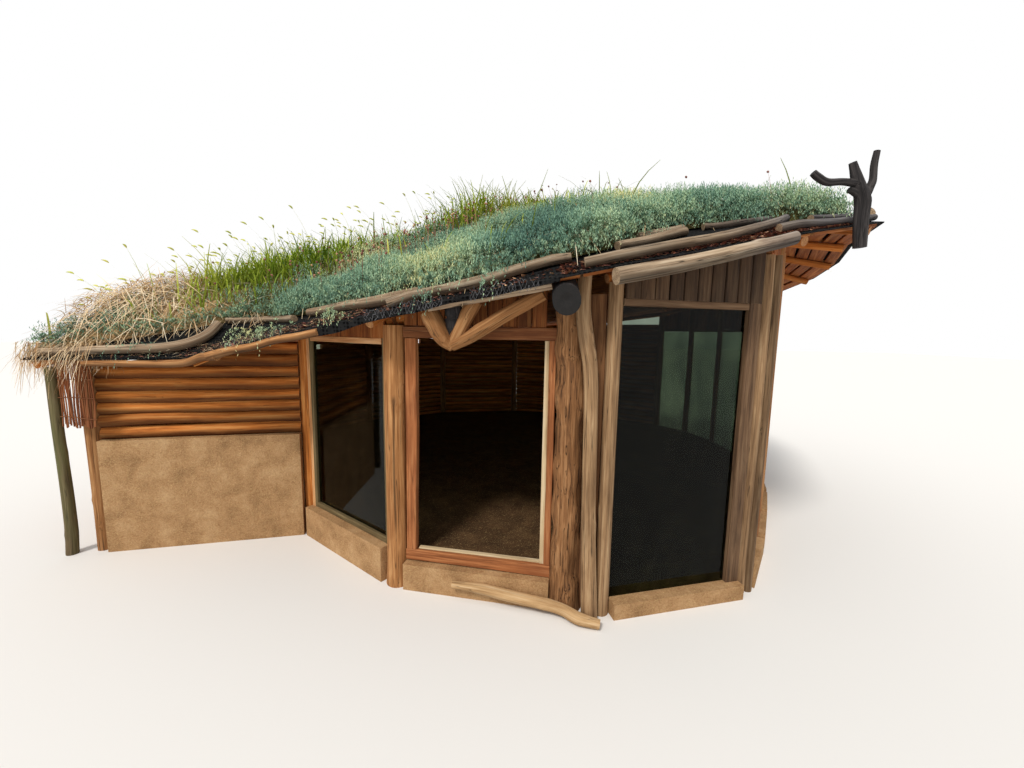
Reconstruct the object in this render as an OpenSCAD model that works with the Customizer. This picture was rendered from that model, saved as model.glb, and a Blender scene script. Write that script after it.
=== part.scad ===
// Turf-roofed roundhouse built into a slope.
// Millimetres, +Z up, -Y is the entrance side.
// Origin: under the roof crown, on the lowest ground.

/* [Plan] */
// shift of the glazed side wall outward
side_dr = 0; // [-60:10:60]
// roof overhang past the glazed side wall
side_over = 500; // [420:10:520]
// reach of the low wing at the left
wing_r = 5040; // [4800:20:5200]

/* [Floor and plinth] */
// top of the earth floor
floor_z = 260; // [200:10:280]
// thickness of the clay plinth
plinth_t = 220; // [160:10:220]
// plinth under the left window
plinth_w1 = 300; // [240:10:360]
// plinth under the doorway
plinth_door = 220; // [180:10:280]
// plinth under the tall window
plinth_w3 = 120; // [80:10:200]
// plinth under the glazed side
plinth_valley = 150; // [80:10:200]
// clay wall under the stacked poles of the wing
plinth_wing = 1060; // [900:20:1200]
// footing under the buried back walls
plinth_back = 200; // [120:10:300]

/* [Doorway] */
// height of the sill board
sill_h = 100; // [60:5:120]
// underside of the head board
head_z = 2046; // [1960:2:2060]
// height of the head board
head_h = 97; // [60:1:105]
// start of the clear opening from the round post
door_x0 = 197; // [190:1:215]
// clear width between the jamb boards
door_w = 1031; // [960:1:1045]
// width of the right jamb board
jamb_w = 48; // [40:1:60]
// thickness of the frame boards
frame_t = 60; // [40:2:70]

/* [Windows] */
// top of the tall window's glass
w3_head = 2300; // [2200:10:2320]
// height of the rail over the tall window
w3_rail = 50; // [40:2:60]
// top of the left window's glass
w1_head = 1990; // [1900:10:1995]
// top of the side windows' glass
valley_head = 2180; // [2050:10:2220]
// glass thickness
glass_t = 8; // [6:1:12]

/* [Posts] */
// radius of the round debarked post
post2_r = 92; // [80:1:96]
// radius of the ridged bark post
bark_r = 110; // [90:1:110]
// radius of the plain corner post
corner_r = 52; // [44:1:54]
// radius of the side posts
valley_r = 50; // [40:1:56]
// radius of the poles of the right corner
right_r = 40; // [34:1:44]
// radius of the wing's stacked poles
wing_pr = 56; // [44:1:58]

/* [Roof] */
// drop of the main log under the roof boards
main_low = 2; // [0:1:20]
// top of the roof boards at the crown
apex_z = 3800; // [3700:20:3900]
// thickness of the roof boards
deck_t = 28; // [20:1:34]
// rafter radius
raf_r = 36; // [32:1:37]
// radius of the wall-plate poles
plate_r = 36; // [32:1:37]
// radius of the main log that ends over the bark post
main_r = 100; // [90:1:102]
// membrane thickness
mem_t = 8; // [6:1:12]
// turf thickness behind the eave poles
turf_edge = 90; // [60:5:120]
// turf thickness on the slope
turf_t = 170; // [120:5:200]
// radius of the rear eave poles
eave_r = 52; // [44:1:58]
// radius of the crown ring
hub_r = 460; // [450:5:480]

/* [Hidden] */
g = 0.3;
$fn = 48;

// inward shift of the plates that have boards in front of them
plate_in = 30;
// back face of those boards
board_y = plate_in - plate_r - g;
// depth of the tall window's rail and boards
rail_d = 34;
// how far the membrane reaches past the roof boards
mem_out = 24;
// ring vertices: plan angle, radius, post radius, eave radius, eave height
bark_v = [267.911, 3190.7];
post2_v = 3282.5;
bay2 = door_x0 + door_w + jamb_w + g + bark_r;
bay2_a = acos((pow(post2_v, 2) + pow(bark_v[1], 2) - pow(bay2, 2))/(2*post2_v*bark_v[1]));
front = [
  [209.6, wing_r, 70, wing_r + 390, 1805], [218.2, 3330, 70, 4300, w1_head - 158],
  [bark_v[0] - bay2_a, post2_v, post2_r, 3600, head_z + 144],
  [bark_v[0], bark_v[1], bark_r, 3600, head_z + 424],
  [272.8, 3291, corner_r, 3600, w3_head + 235], [294.51, 3287, 46, 3600, w3_head + 520]];
side = [
  [309.7, 2960, 3650, w3_head + 715], [323.8, 2830, 2912 + side_over, 3040],
  [338.0, 2860, 2934 + side_over, 2980], [352.4, 3000, 3030 + side_over, 2910],
  [366.3, 3169, 3169 + side_over, 2830], [379.5, 3289, 3289 + side_over, 2740],
  [391.8, 3413, 3413 + side_over, 2650]];
vall = [for (v = side) [v[0], v[1] + side_dr, valley_r, v[2] + side_dr, v[3]]];
back = [
  [402.6, 3397, 60, 3800, 2550], [430, 3450, 70, 3850, 2340],
  [458, 3600, 70, 3950, 2140], [484, 3850, 70, 4200, 1990],
  [508, 4150, 70, 4500, 1890], [530, 4500, 70, 4850, 1850],
  [550, 4800, 70, 5150, 1820]];
V = concat(front, vall, back);
N = len(V);

function md(i) = (i + N) % N;
function P(i) = let (v = V[md(i)]) [v[1]*cos(v[0]), v[1]*sin(v[0])];
function E(i) = let (v = V[md(i)]) [v[3]*cos(v[0]), v[3]*sin(v[0]), v[4]];
function pr(i) = V[md(i)][2];
function plen(i) = norm(P(i + 1) - P(i));
function head(i) = let (d = P(i + 1) - P(i)) atan2(d[1], d[0]);
// top of the roof boards on ray i at radius r
function dz(i, r) = let (v = V[md(i)]) v[4] + (apex_z - v[4])*(1 - r/v[3]);
function unit(v) = v/norm(v);
// height of the roof boards' top on facet i at a plan point
function fz(i, x, y) = let (n = fnrm(i)) apex_z - (n[0]*x + n[1]*y)/n[2];
// sine between ray i and eave edge k
function es(i, k) = let (d = E(k + 1) - E(k), a = V[md(i)][0])
  abs(cross([cos(a), sin(a)], unit([d[0], d[1]])));
// inset of a vertex on ray i that keeps distance d from both eave edges
function ins(i, d) = d/min(es(i, i), es(i, i - 1));
// upward normal of roof facet i
function fnrm(i) = unit(cross(E(i) - [0, 0, apex_z], E(i + 1) - [0, 0, apex_z]));
function nzmin(i) = min(fnrm(i)[2], fnrm(i - 1)[2]);
// rafter axis on ray i at radius r
function rz(i, r, rad) = dz(i, r) - deck_t - (rad + g)/nzmin(i);
// plate axis height at vertex i
function pz(i) = rz(i, V[md(i)][1], raf_r) - (raf_r + plate_r + 2*g)/nzmin(i);
function pslope(i) = (pz(i + 1) - pz(i))/plen(i);
function psec(i) = sqrt(1 + pslope(i)*pslope(i));
// underside of plate i at distance x from its vertex
function pbot(i, x) = pz(i) + pslope(i)*x - plate_r*psec(i);
// flat top of post i under its plates
function ptop(i) = min(
  pz(i) - max(0, -pslope(i))*pr(i) - plate_r*psec(i),
  pz(i) - max(0, pslope(i - 1))*pr(i) - plate_r*psec(i - 1)) - g;
function turn(i) = let (a = head(i) - head(i - 1)) abs(a > 180 ? a - 360 : a < -180 ? a + 360 : a);
function pcut(i) = plate_r*tan(min(120, turn(i))/2) + 4;
// inward shift of plate i, which leaves room for the boards in front of it
function pin(i) = i == 1 || i == 2 || i == 4 ? plate_in : 0;
// plan angle at fraction t of facet i
function ang(i, t) = V[i][0] + t*((i == N - 1 ? V[0][0] + 360 : V[i + 1][0]) - V[i][0]);
// eave radius of facet i at plan angle a
function er(i, a) = let (d = E(i + 1) - E(i))
  cross([E(i)[0], E(i)[1]], [d[0], d[1]])/cross([cos(a), sin(a)], [d[0], d[1]]);
// point h above the roof boards on facet i at fraction t, w in from the eave
function on(i, t, w, h) = let (a = ang(i, t), r = er(i, a) - w, x = r*cos(a), y = r*sin(a))
  [x, y, fz(i, x, y) + h/(t == 0 ? nzmin(i) : fnrm(i)[2])];
// plan point of chord coordinates x, y in bay i
function chord(i, x, y) = let (a = head(i)) [P(i)[0] + x*cos(a) - y*sin(a), P(i)[1] + x*sin(a) + y*cos(a)];
// underside of the roof boards over a chord point
function under(i, x, y) = let (p = chord(i, x, y)) fz(i, p[0], p[1]) - deck_t - g;

// child in chord coordinates: x from vertex i to i+1, -y outward
module bay(i) { translate([P(i)[0], P(i)[1], 0]) rotate([0, 0, head(i)]) children(); }

// straight round pole from a to b
module rod(a, b, r1, r2) {
  d = b - a;
  translate(a) rotate([0, acos(d[2]/norm(d)), atan2(d[1], d[0])])
    cylinder(r1 = r1, r2 = r2, h = norm(d));
}

// bent limb: hulls of balls from bend to bend
module limb(pts, rs, $fn = 16) {
  for (k = [0:len(pts) - 2]) hull() {
    translate(pts[k]) sphere(r = rs[k]);
    translate(pts[k + 1]) sphere(r = rs[k + 1]);
  }
}

// bent pole that lies on the roof: path of [facet, fraction, distance from the eave, radius, height]
module bough(path, s = 12) {
  m = len(path);
  function lift(p) = is_undef(p[4]) ? p[3] + (mem_t + g)*fnrm(p[0])[2] + g : p[4];
  pts = [for (p = path) on(p[0], p[1], p[2], lift(p))];
  ring = [for (k = [0:m - 1])
    let (t = unit(pts[min(k + 1, m - 1)] - pts[max(k - 1, 0)]), b = unit(cross(t, fnrm(path[k][0]))),
      n = cross(b, t), r = path[k][3]/cos(180/s))
    for (j = [0:s - 1]) let (a = (j + 0.5)*360/s) pts[k] + r*(cos(a)*b + sin(a)*n)];
  function v(k, j) = k*s + j % s;
  polyhedron(ring, concat([[for (j = [0:s - 1]) s - 1 - j]], [[for (j = [0:s - 1]) v(m - 1, j)]],
    [for (k = [0:m - 2]) for (j = [0:s - 1]) [v(k, j), v(k, j + 1), v(k + 1, j)]],
    [for (k = [0:m - 2]) for (j = [0:s - 1]) [v(k, j + 1), v(k + 1, j + 1), v(k + 1, j)]]));
}

module box(x0, x1, y0, y1, z0, z1) { translate([x0, y0, z0]) cube([x1 - x0, y1 - y0, z1 - z0]); }

// plinth run of bay i between its posts
module plinth(i, h, a = 0, b = 0) {
  bay(i) box(pr(i) + g + a, plen(i) - pr(i + 1) - g - b, -plinth_t/2, plinth_t/2, 0, h);
}

// roof shell between two heights above the roof boards, radius change dr
module shell(z0, z1, dr) {
  function ep(i, z) = let (v = V[md(i)], r = v[3] + dr) [r*cos(v[0]), r*sin(v[0]), dz(i, r) + z];
  pts = concat([[0, 0, apex_z + z0], [0, 0, apex_z + z1]],
    [for (i = [0:N - 1]) ep(i, z0)], [for (i = [0:N - 1]) ep(i, z1)]);
  polyhedron(pts, concat(
    [for (i = [0:N - 1]) [0, 2 + i, 2 + (i + 1) % N]],
    [for (i = [0:N - 1]) [1, 2 + N + (i + 1) % N, 2 + N + i]],
    [for (i = [0:N - 1]) [2 + i, 2 + N + i, 2 + (i + 1) % N]],
    [for (i = [0:N - 1]) [2 + (i + 1) % N, 2 + N + i, 2 + N + (i + 1) % N]]));
}

// piece to build

earth_floor();
plinth_front();
plinth_wing_wall();  // plinth_wing
plinth_rear();
wing_poles();
post_left();
window_left_frame();
window_left_glass();
window_left_boards();
post_round();
door_sill();
door_jambs();
door_head();
door_bead();
door_boards();
post_bark();
post_bent();
corner_boards();
post_corner();
window_tall_frame();
window_tall_glass();
window_tall_boards();
posts_right();
side_posts();
side_rails();
side_glass();
side_boards();
back_posts();
back_poles();
wall_plate();
main_log();
rafters();
crown_ring();
roof_deck();
roof_membrane();
roof_turf();
eave_poles_front();
eave_pole_low();
eave_poles_rear();
eave_board();
door_bracket();
tip_fork();
stick_screen();
stub_post();
threshold_log();

// centres of the two extra poles at the right corner, from the last post
right_b = [pr(5) + right_r + g, 0];
right_c = right_b[0]*[cos(60), sin(60)];
// start of the first side window past the corner poles
side_start = right_b[0] + right_r;

module post(i, r) { translate([P(i)[0], P(i)[1], 0]) cylinder(r = r, h = ptop(i)); }

module earth_floor() {
  color("#6b5238") difference() {
    linear_extrude(floor_z) offset(delta = -(plinth_t/2 + g)) polygon([for (i = [0:N - 1]) P(i)]);
    bay(4) translate([plen(4) + right_c[0], right_c[1], -1]) cylinder(r = right_r + g, h = floor_z + 2);
  }
}

module plinth_front() {
  color("#9a8263") {
    plinth(1, plinth_w1);
    plinth(2, plinth_door);
    plinth(4, plinth_w3);
  }
}

module plinth_wing_wall() {
  color("#9a8263") plinth(0, plinth_wing);
}

module plinth_rear() {
  color("#9a8263") {
    plinth(5, plinth_valley, side_start - pr(5));
    for (i = [6:12]) plinth(i, plinth_valley);
    for (i = [13:N - 1]) plinth(i, plinth_back);
  }
}

// stacked poles of the wing, each cut where the sloping plate meets it
module wing_poles() {
  step = 2*wing_pr + 0.6;
  color("#b9814a") bay(0) for (k = [0:8]) {
    z = plinth_wing + g + wing_pr + k*step;
    x0 = max(pr(0) + 1, (z + wing_pr*psec(0) + 3 - pbot(0, 0))/pslope(0));
    x1 = plen(0) - pr(1) - 1;
    if (x1 - x0 > 200) rod([x0, 0, z], [x1, 0, z], wing_pr, wing_pr);
  }
}

module post_left() { color("#b8926a") post(1, pr(1)); }

// left window: width of the left stile, width of the right one, height of the rails
stile_w = 88;
thin_w = 36;
rail_h = 50;
module window_left_frame() {
  x0 = pr(1) + g;
  x1 = pr(1) + stile_w;
  x2 = plen(1) - pr(2) - thin_w;
  top = w1_head + rail_h;
  color("#a89878") bay(1) {
    box(x0, x1, -30, 30, plinth_w1 + g, top);
    box(x2, x2 + thin_w - g, -30, 30, plinth_w1 + g, top);
    box(x1, x2, -30, 30, w1_head, top);
    box(x1, x2, -30, 30, plinth_w1 + g, plinth_w1 + rail_h);
  }
}

module window_left_glass() {
  color("#9fb3ad") bay(1)
    box(pr(1) + stile_w + g, plen(1) - pr(2) - thin_w - g, -glass_t/2, glass_t/2,
      plinth_w1 + rail_h + g, w1_head - g);
}

// short boards between a rail top and the sloping plate
module boards(i, x0, x1, n, zb, t, gap = 2) {
  w = (x1 - x0)/n;
  for (k = [0:n - 1]) {
    a = x0 + k*w;
    b = a + w - gap;
    zt = min(pbot(i, a), pbot(i, b)) - g;
    if (zt - zb > 12) bay(i) box(a, b, -t/2, t/2, zb, zt);
  }
}

// boards in front of a plate, up to the roof boards
module high_boards(i, x0, x1, n, zb, t, gap = 2) {
  w = (x1 - x0)/n;
  for (k = [0:n - 1]) {
    a = x0 + k*w;
    b = a + w - gap;
    zt = min([for (x = [a, b]) for (y = [board_y - t, board_y]) under(i, x, y)]);
    bay(i) box(a, b, board_y - t, board_y, zb, zt);
  }
}

module window_left_boards() {
  color("#b8763c") high_boards(1, pr(1) + 4, plen(1) - pr(2) - 2, 8, w1_head + rail_h + g, 26);
}

module post_round() { color("#b98f60") post(2, post2_r); }

// frame boards of the doorway: x, then z
module door_piece(x0, x1, z0, z1) {
  color("#a5683f") bay(2) box(x0, x1, 15 - frame_t, 15, z0, z1);
}

// right side of the right jamb board
door_end = door_x0 + door_w + jamb_w;
module door_sill() { door_piece(post2_r + g, door_end, plinth_door + g, plinth_door + sill_h); }

module door_jambs() {
  z0 = plinth_door + sill_h + g;
  door_piece(post2_r + g, door_x0, z0, head_z - g);
  door_piece(door_x0 + door_w, door_end, z0, head_z - g);
}

module door_head() { door_piece(post2_r + g, door_end, head_z, head_z + head_h); }

module door_bead() {
  color("#cdb892") bay(2) {
    z0 = plinth_door + sill_h + g;
    box(door_x0 + door_w - 36, door_x0 + door_w - g, -22, -2, z0, head_z - g);
    box(door_x0 + g, door_x0 + door_w - 37, -22, 14, z0, z0 + 14);
  }
}

module door_boards() {
  color("#a8703a") high_boards(2, post2_r + 4, log_left(0) - 4, 10, head_z + head_h + g, 28);
}

// main log: outer end left of the bark post, inner end at the crown
log_o = on(2, 0.945, -6, -(deck_t + main_r + g + main_low));
log_i = ray(3, hub_r + 50, rz(3, hub_r + 50, main_r) - main_low);
log_s = (log_i[2] - log_o[2])/norm([log_i[0] - log_o[0], log_i[1] - log_o[1]]);
// chord coordinates of a plan point in bay 2
function in_door_bay(p) = let (d = [p[0], p[1]] - P(2), a = head(2))
  [d[0]*cos(a) + d[1]*sin(a), d[1]*cos(a) - d[0]*sin(a)];
// left side of the main log where it crosses the line y of bay 2
function log_left(y) = let (o = in_door_bay(log_o), i = in_door_bay(log_i))
  o[0] + (y - o[1])*(i[0] - o[0])/(i[1] - o[1]) - main_r*1.03;
// axis height of the main log at plan radius r
function log_z(r) = log_o[2] + log_s*(norm([log_o[0], log_o[1]]) - r);

module post_bark() {
  translate([P(3)[0], P(3)[1], 0]) color("#8a6a48")
    cylinder(r = bark_r, h = log_z(V[3][1] + bark_r) - main_r*sqrt(1 + log_s*log_s) - g);
}

// bent post in front of the gap between the bark post and the corner post
module post_bent() {
  top = [98, -132];
  tr = 46;
  color("#b08658") bay(3)
    limb([[222, -104, 56], [186, -108, 800], [172, -112, 1500], [158, -118, head_z - 196], [116, -130, head_z + 54],
      [94, -134, head_z + 254], [top[0], top[1], under(3, top[0], top[1]) - tr/fnrm(3)[2]]],
      [56, 50, 50, 50, 50, 48, tr]);
}

module corner_boards() {
  // below the plate that starts over the corner post
  top = w3_head + 80;
  color("#6f4a2c") bay(3) box(bark_r + g, plen(3) - corner_r - g, -3.6, 30, 0, top);
}

module post_corner() { color("#b59a74") post(4, corner_r); }

// left side of the boards that frame the tall window at the right
jamb_x = plen(4) - 164;
module window_tall_frame() {
  y0 = board_y - rail_d;
  color("#b5824f") bay(4) {
    box(corner_r + g, jamb_x, y0, 25, w3_head, w3_head + w3_rail);
    box(jamb_x + g, plen(4) - pr(5) - g, y0, 25, plinth_w3 + g, w3_head + w3_rail);
  }
}

module window_tall_glass() {
  color("#8fa79f") bay(4)
    box(corner_r + g, jamb_x - g, -glass_t/2, glass_t/2, plinth_w3 + g, w3_head - g);
}

module window_tall_boards() {
  color("#a8733f") high_boards(4, corner_r + 4, plen(4) - pr(5) - 2, 10, w3_head + w3_rail + g, rail_d);
}

module posts_right() {
  color("#a88560") {
    post(5, pr(5));
    for (c = [right_b, right_c]) bay(4) translate([plen(4) + c[0], c[1], 0]) cylinder(r = right_r, h = ptop(5));
  }
}

module side_posts() { color("#8f7350") for (i = [6:12]) post(i, valley_r); }

module side_rails() {
  color("#9a7448") for (i = [5:12]) bay(i) {
    a = i == 5 ? side_start + g : pr(i) + g;
    b = plen(i) - pr(i + 1) - g;
    box(a, b, -25, 25, valley_head, valley_head + 50);
    box(a, b, -30, 30, plinth_valley + g, plinth_valley + 50);
  }
}

module side_glass() {
  color("#8fa79f") for (i = [5:12]) bay(i) {
    a = i == 5 ? side_start + g : pr(i) + g;
    box(a, plen(i) - pr(i + 1) - g, -glass_t/2, glass_t/2, plinth_valley + 50 + g, valley_head - g);
  }
}

module side_boards() {
  color("#94683c") {
    boards(5, side_start + 2, plen(5) - valley_r - 2, 5, valley_head + 50 + g, 30);
    for (i = [6:12]) boards(i, pr(i) + 4, plen(i) - pr(i + 1) - 2, 6, valley_head + 50 + g, 30);
  }
}

module back_posts() {
  color("#8a6c4a") {
    post(0, pr(0));
    for (i = [13:N - 1]) post(i, pr(i));
  }
}

// buried walls: one run of stacked poles a bay
module back_poles() {
  n = 16;
  color("#9c7044") for (i = [13:N - 1]) bay(i) difference() {
    x0 = pr(i) + 1;
    x1 = plen(i) - pr(i + 1) - 1;
    translate([x0, 0, 0]) rotate([90, 0, 90]) linear_extrude(x1 - x0)
      for (k = [0:22]) translate([0, plinth_back + g + 50 + k*96]) circle(r = 50);
    hull() {
      translate([x0 - 1, -100, pbot(i, x0 - 1) - 1]) cube([0.1, 200, 2600]);
      translate([x1 + 1, -100, pbot(i, x1 + 1) - 1]) cube([0.1, 200, 2600]);
    }
  }
}

module wall_plate() {
  color("#9b8264") for (i = [0:N - 1]) if (i != 3) {
    k = tan(turn(i + 1)/2)*pin(i);
    s = i == 4 ? -60 : pcut(i) + tan(turn(i)/2)*pin(i);
    e = i == 2 ? plen(2) - log_left(pin(2)) + 8 : pcut(i + 1) + k;
    u = unit([P(i + 1)[0] - P(i)[0], P(i + 1)[1] - P(i)[1], pz(i + 1) - pz(i)]);
    a = concat(chord(i, 0, pin(i)), [pz(i)]);
    b = concat(chord(i, plen(i), pin(i)), [pz(i + 1)]);
    rod(a + u*s, b - u*e, plate_r, plate_r);
  }
}

function ray(i, r, z) = [r*cos(V[md(i)][0]), r*sin(V[md(i)][0]), z];

module main_log() { color("#3d3026") rod(log_o, log_i, main_r, main_r - 10); }

// smaller angle between ray i and its neighbours
function near(i) = min(ang(i, 1) - V[i][0], V[md(i - 1)][0] > V[i][0]
  ? V[i][0] + 360 - V[md(i - 1)][0] : V[i][0] - V[md(i - 1)][0]);

module rafters() {
  color("#a17c50") for (i = [0:N - 1]) if (i != 3 && i != 4) {
    o = V[i][3] - 60;
    n = max(hub_r + raf_r/2 + g, (raf_r + 2)/sin(near(i)/2));
    rod(ray(i, o, rz(i, o, raf_r)), ray(i, n, rz(i, n, raf_r)), raf_r, raf_r);
  }
}

module crown_ring() {
  depth = 460;
  wall = 130;
  color("#7d5f3c") intersection() {
    difference() {
      translate([0, 0, apex_z - depth]) cylinder(r = hub_r, h = depth);
      translate([0, 0, apex_z - depth - 1]) cylinder(r = hub_r - wall, h = depth + 2);
    }
    // everything under the roof boards
    shell(-3*depth, -deck_t - g, -200);
  }
}

// roof boards: one triangular panel between two rafters
module roof_deck() {
  color("#b9783c") for (i = [0:N - 1]) {
    c = unit([E(i)[0], E(i)[1]] + [E(i + 1)[0], E(i + 1)[1]]);
    o = [[60*c[0], 60*c[1]], [E(i)[0], E(i)[1]], [E(i + 1)[0], E(i + 1)[1]]];
    m = (o[0] + o[1] + o[2])/3;
    q = [for (p = o) p + unit(m - p)*4];
    top = [for (p = q) [p[0], p[1], fz(i, p[0], p[1])]];
    polyhedron(concat([for (p = top) p - [0, 0, deck_t]], top),
      [[0, 1, 2], [5, 4, 3], [0, 3, 1], [1, 3, 4], [1, 4, 2], [2, 4, 5], [2, 5, 0], [0, 5, 3]]);
  }
}

module roof_membrane() { color("#1d1d1f") shell(g, g + mem_t, mem_out); }

// turf edge: facet, fraction, distance from the eave; it clears the eave poles
turf_front = [
  [0, 0, 140], [0, 0.16, 310], [0, 0.4, 520], [0, 0.57, 770], [1, 0, 750], [1, 0.15, 640],
  [1, 0.29, 560], [1, 0.63, 440], [1, 0.87, 310], [2, 0, 250], [2, 0.2, 290], [2, 0.28, 200],
  [2, 0.6, 205], [2, 0.7, 290], [2, 0.92, 370], [3, 0, 390], [4, 0, 450], [4, 0.24, 720],
  [4, 0.63, 755], [4, 0.72, 690], [5, 0, 650], [5, 0.48, 620], [5, 0.6, 400], [6, 0, 300]];
turf_edge_pts = concat(turf_front, [for (i = [7:N - 1]) [i, 0, ins(i, 160)]]);

// turf: thick on the slope, thinner at its edge
module roof_turf() {
  fr = [1, 0.95, 0.6, 0.25];
  th = [turf_edge, turf_t - 20, turf_t, turf_t - 15];
  m = len(fr);
  M = len(turf_edge_pts);
  z0 = 2*g + mem_t;
  function tp(e, f, h) = let (r = er(e[0], ang(e[0], e[1])) - e[2])
    on(e[0], e[1], e[2] + r*(1 - f), 0) + [0, 0, h];
  pts = concat([[0, 0, apex_z + z0]], [for (e = turf_edge_pts) tp(e, 1, z0)],
    [for (k = [0:m - 1]) for (e = turf_edge_pts) tp(e, fr[k], z0 + th[k])],
    [[0, 0, apex_z + z0 + turf_t - 40]]);
  function q(k, i) = 1 + k*M + i % M;
  top = 1 + (m + 1)*M;
  color("#6f7f45") polyhedron(pts, concat(
    [for (i = [0:M - 1]) [0, q(0, i), q(0, i + 1)]],
    [for (k = [0:m - 1]) for (i = [0:M - 1]) [q(k, i), q(k + 1, i), q(k, i + 1)]],
    [for (k = [0:m - 1]) for (i = [0:M - 1]) [q(k, i + 1), q(k + 1, i), q(k + 1, i + 1)]],
    [for (i = [0:M - 1]) [top, q(m, i + 1), q(m, i)]]));
}

// pole on the membrane along eave facet i, between fractions a and b
module epole(i, a, b, r) {
  n = fnrm(i);
  e = unit(E(i + 1) - E(i));
  w = cross(n, e);
  l = norm(E(i + 1) - E(i));
  o = E(i) + w*95 + n*(r + (g*2 + mem_t)*n[2] + g);
  rod(o + e*(l*a), o + e*(l*b), r, r);
}

// the front eave: bent poles that lie on the membrane, left to right
module eave_poles_front() {
  color("#8a7d6c") {
    bough([[0, 0.02, 50, 30], [0, 0.23, 36, 32], [0, 0.465, 36, 35], [0, 0.744, 45, 42],
      [0, 0.872, 125, 46], [0, 0.849, 300, 48], [0, 0.686, 560, 46]]);
    bough([[0, 0.616, 700, 30], [1, 0, 680, 30], [1, 0.33, 400, 28]]);
    bough([[1, 0.385, 448, 36], [1, 0.628, 375, 38], [1, 0.871, 238, 40], [2, 0, 175, 40],
      [2, 0.198, 223, 34]]);
    bough([[2, 0.1, 50, 34], [2, 0.198, 128, 36], [2, 0.449, 114, 38], [2, 0.595, 134, 38],
      [2, 0.704, 216, 36], [2, 0.919, 295, 34], [2, 0.975, 310, 32]]);
    bough([[3, 0.08, 59, 34], [4, 0, 40, 38], [4, 0.272, 82, 38], [4, 0.516, 95, 38],
      [4, 0.857, 231, 36], [5, 0, 300, 35], [5, 0.493, 447, 34]]);
    bough([[4, 0.868, 100, 30], [5, 0, 90, 30], [5, 0.598, 45, 30], [5, 0.985, 40, 28]]);
    bough([[4, 0.012, 380, 34], [4, 0.534, 513, 32]]);
    bough([[4, 0.249, 653, 28], [4, 0.631, 687, 28]]);
    bough([[4, 0.74, 610, 28], [5, 0, 572, 28], [5, 0.473, 557, 28]]);
    bough([[5, 0.585, 300, 32], [5, 0.98, 200, 30]]);
  }
}

// thick pole in front of the roof boards' edge, over the tall window
module eave_pole_low() {
  r0 = 50;
  r1 = 42;
  w = mem_out - 2;
  color("#5a4a43") bough([[4, -0.09, -(w + r0), r0, -40], [4, 0.2, -(w + r0), r0, -34],
    [4, 0.5, -(w + r0), r0, -22], [4, 0.83, -(w + r1), r1, -2]]);
}

module eave_poles_rear() {
  color("#8f8068") for (i = [6:N - 1]) epole(i, 0.045, 0.945, eave_r);
}

module eave_board() {
  n = fnrm(2);
  e = unit(E(3) - E(2));
  w = cross(n, e);
  o = E(2) + w*mem_out - n*(deck_t*n[2] + g);
  l = norm(E(3) - E(2));
  color("#a8936f") multmatrix([[e[0], n[0], -w[0], o[0]], [e[1], n[1], -w[1], o[1]], [e[2], n[2], -w[2], o[2]]])
    linear_extrude(24) polygon([[l*0.32, 0], [l*0.875, 0], [l*0.875, -42], [l*0.32, -12]]);
}

// forked branch under the eave: its point hangs before the door head
module door_bracket() {
  y = -240;
  tip = [558, y, head_z - 59];
  // end of a leg against the roof boards
  function leg(x, r) = [x, y, under(2, x, y) - r/fnrm(2)[2]];
  color("#b08a5c") bay(2) {
    limb([[door_end - 80, y, head_z + 316], [930, y, head_z + 169], tip], [44, 47, 44]);
    limb([tip, [462, y, head_z + 59], leg(380, 46)], [44, 56, 46]);
    limb([tip, [628, y, head_z + 104], leg(722, 40)], [44, 44, 40]);
  }
}

// forked branch that stands up beside the right tip of the eave
module tip_fork() {
  y = -3085;
  // bend point h above the tall window's head
  function at(x, h) = [x, y, w3_head + h];
  crotch = at(1943, 790);
  neck = at(1902, 900);
  color("#3a2f28") {
    limb([at(1965, 460), crotch, neck, at(1845, 1045)], [36, 50, 42, 24]);
    limb([crotch, at(2003, 933), at(2008, 1125)], [36, 24, 20]);
    limb([neck, at(1680, 908), at(1572, 970)], [30, 27, 24]);
  }
}

// screen of thin sticks beside the wing's outer post, up to the roof boards
module stick_screen() {
  x0 = P(0)[0] - 118;
  y0 = P(0)[1] - 141;
  low = plinth_wing + 140;
  count = 9;
  pitch = 36;
  color("#8b5a3a") {
    for (k = [0:count - 1]) {
      x = x0 + k*pitch;
      translate([x, y0, low]) cylinder(r = 9, h = fz(0, x, y0) - deck_t - g - 6 - low);
    }
    for (z = [low + 90, low + 440]) translate([x0 - 15, y0, z]) rotate([0, 90, 0])
      cylinder(r = 4, h = (count - 1)*pitch + 30);
  }
}

module stub_post() {
  r = wing_r + 240;
  sl = (apex_z - V[0][4])/V[0][3];
  p = ray(0, r, 0);
  color("#6d6a4c") translate(p)
    cylinder(r = 45, h = rz(0, r, raf_r) - (raf_r + g)*sqrt(1 + sl*sl) - sl*45);
}

module threshold_log() {
  color("#c4a780") bay(2)
    limb([[525, -145.6, 130], [975, -149.6, 105], [1345, -166, 75], [1525, -226, 52], [1665, -240, 40]],
      [36, 40, 40, 38, 36]);
}
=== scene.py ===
import math

import bpy
import numpy as np
from mathutils import Euler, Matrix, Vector
from mathutils.bvhtree import BVHTree


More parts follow.
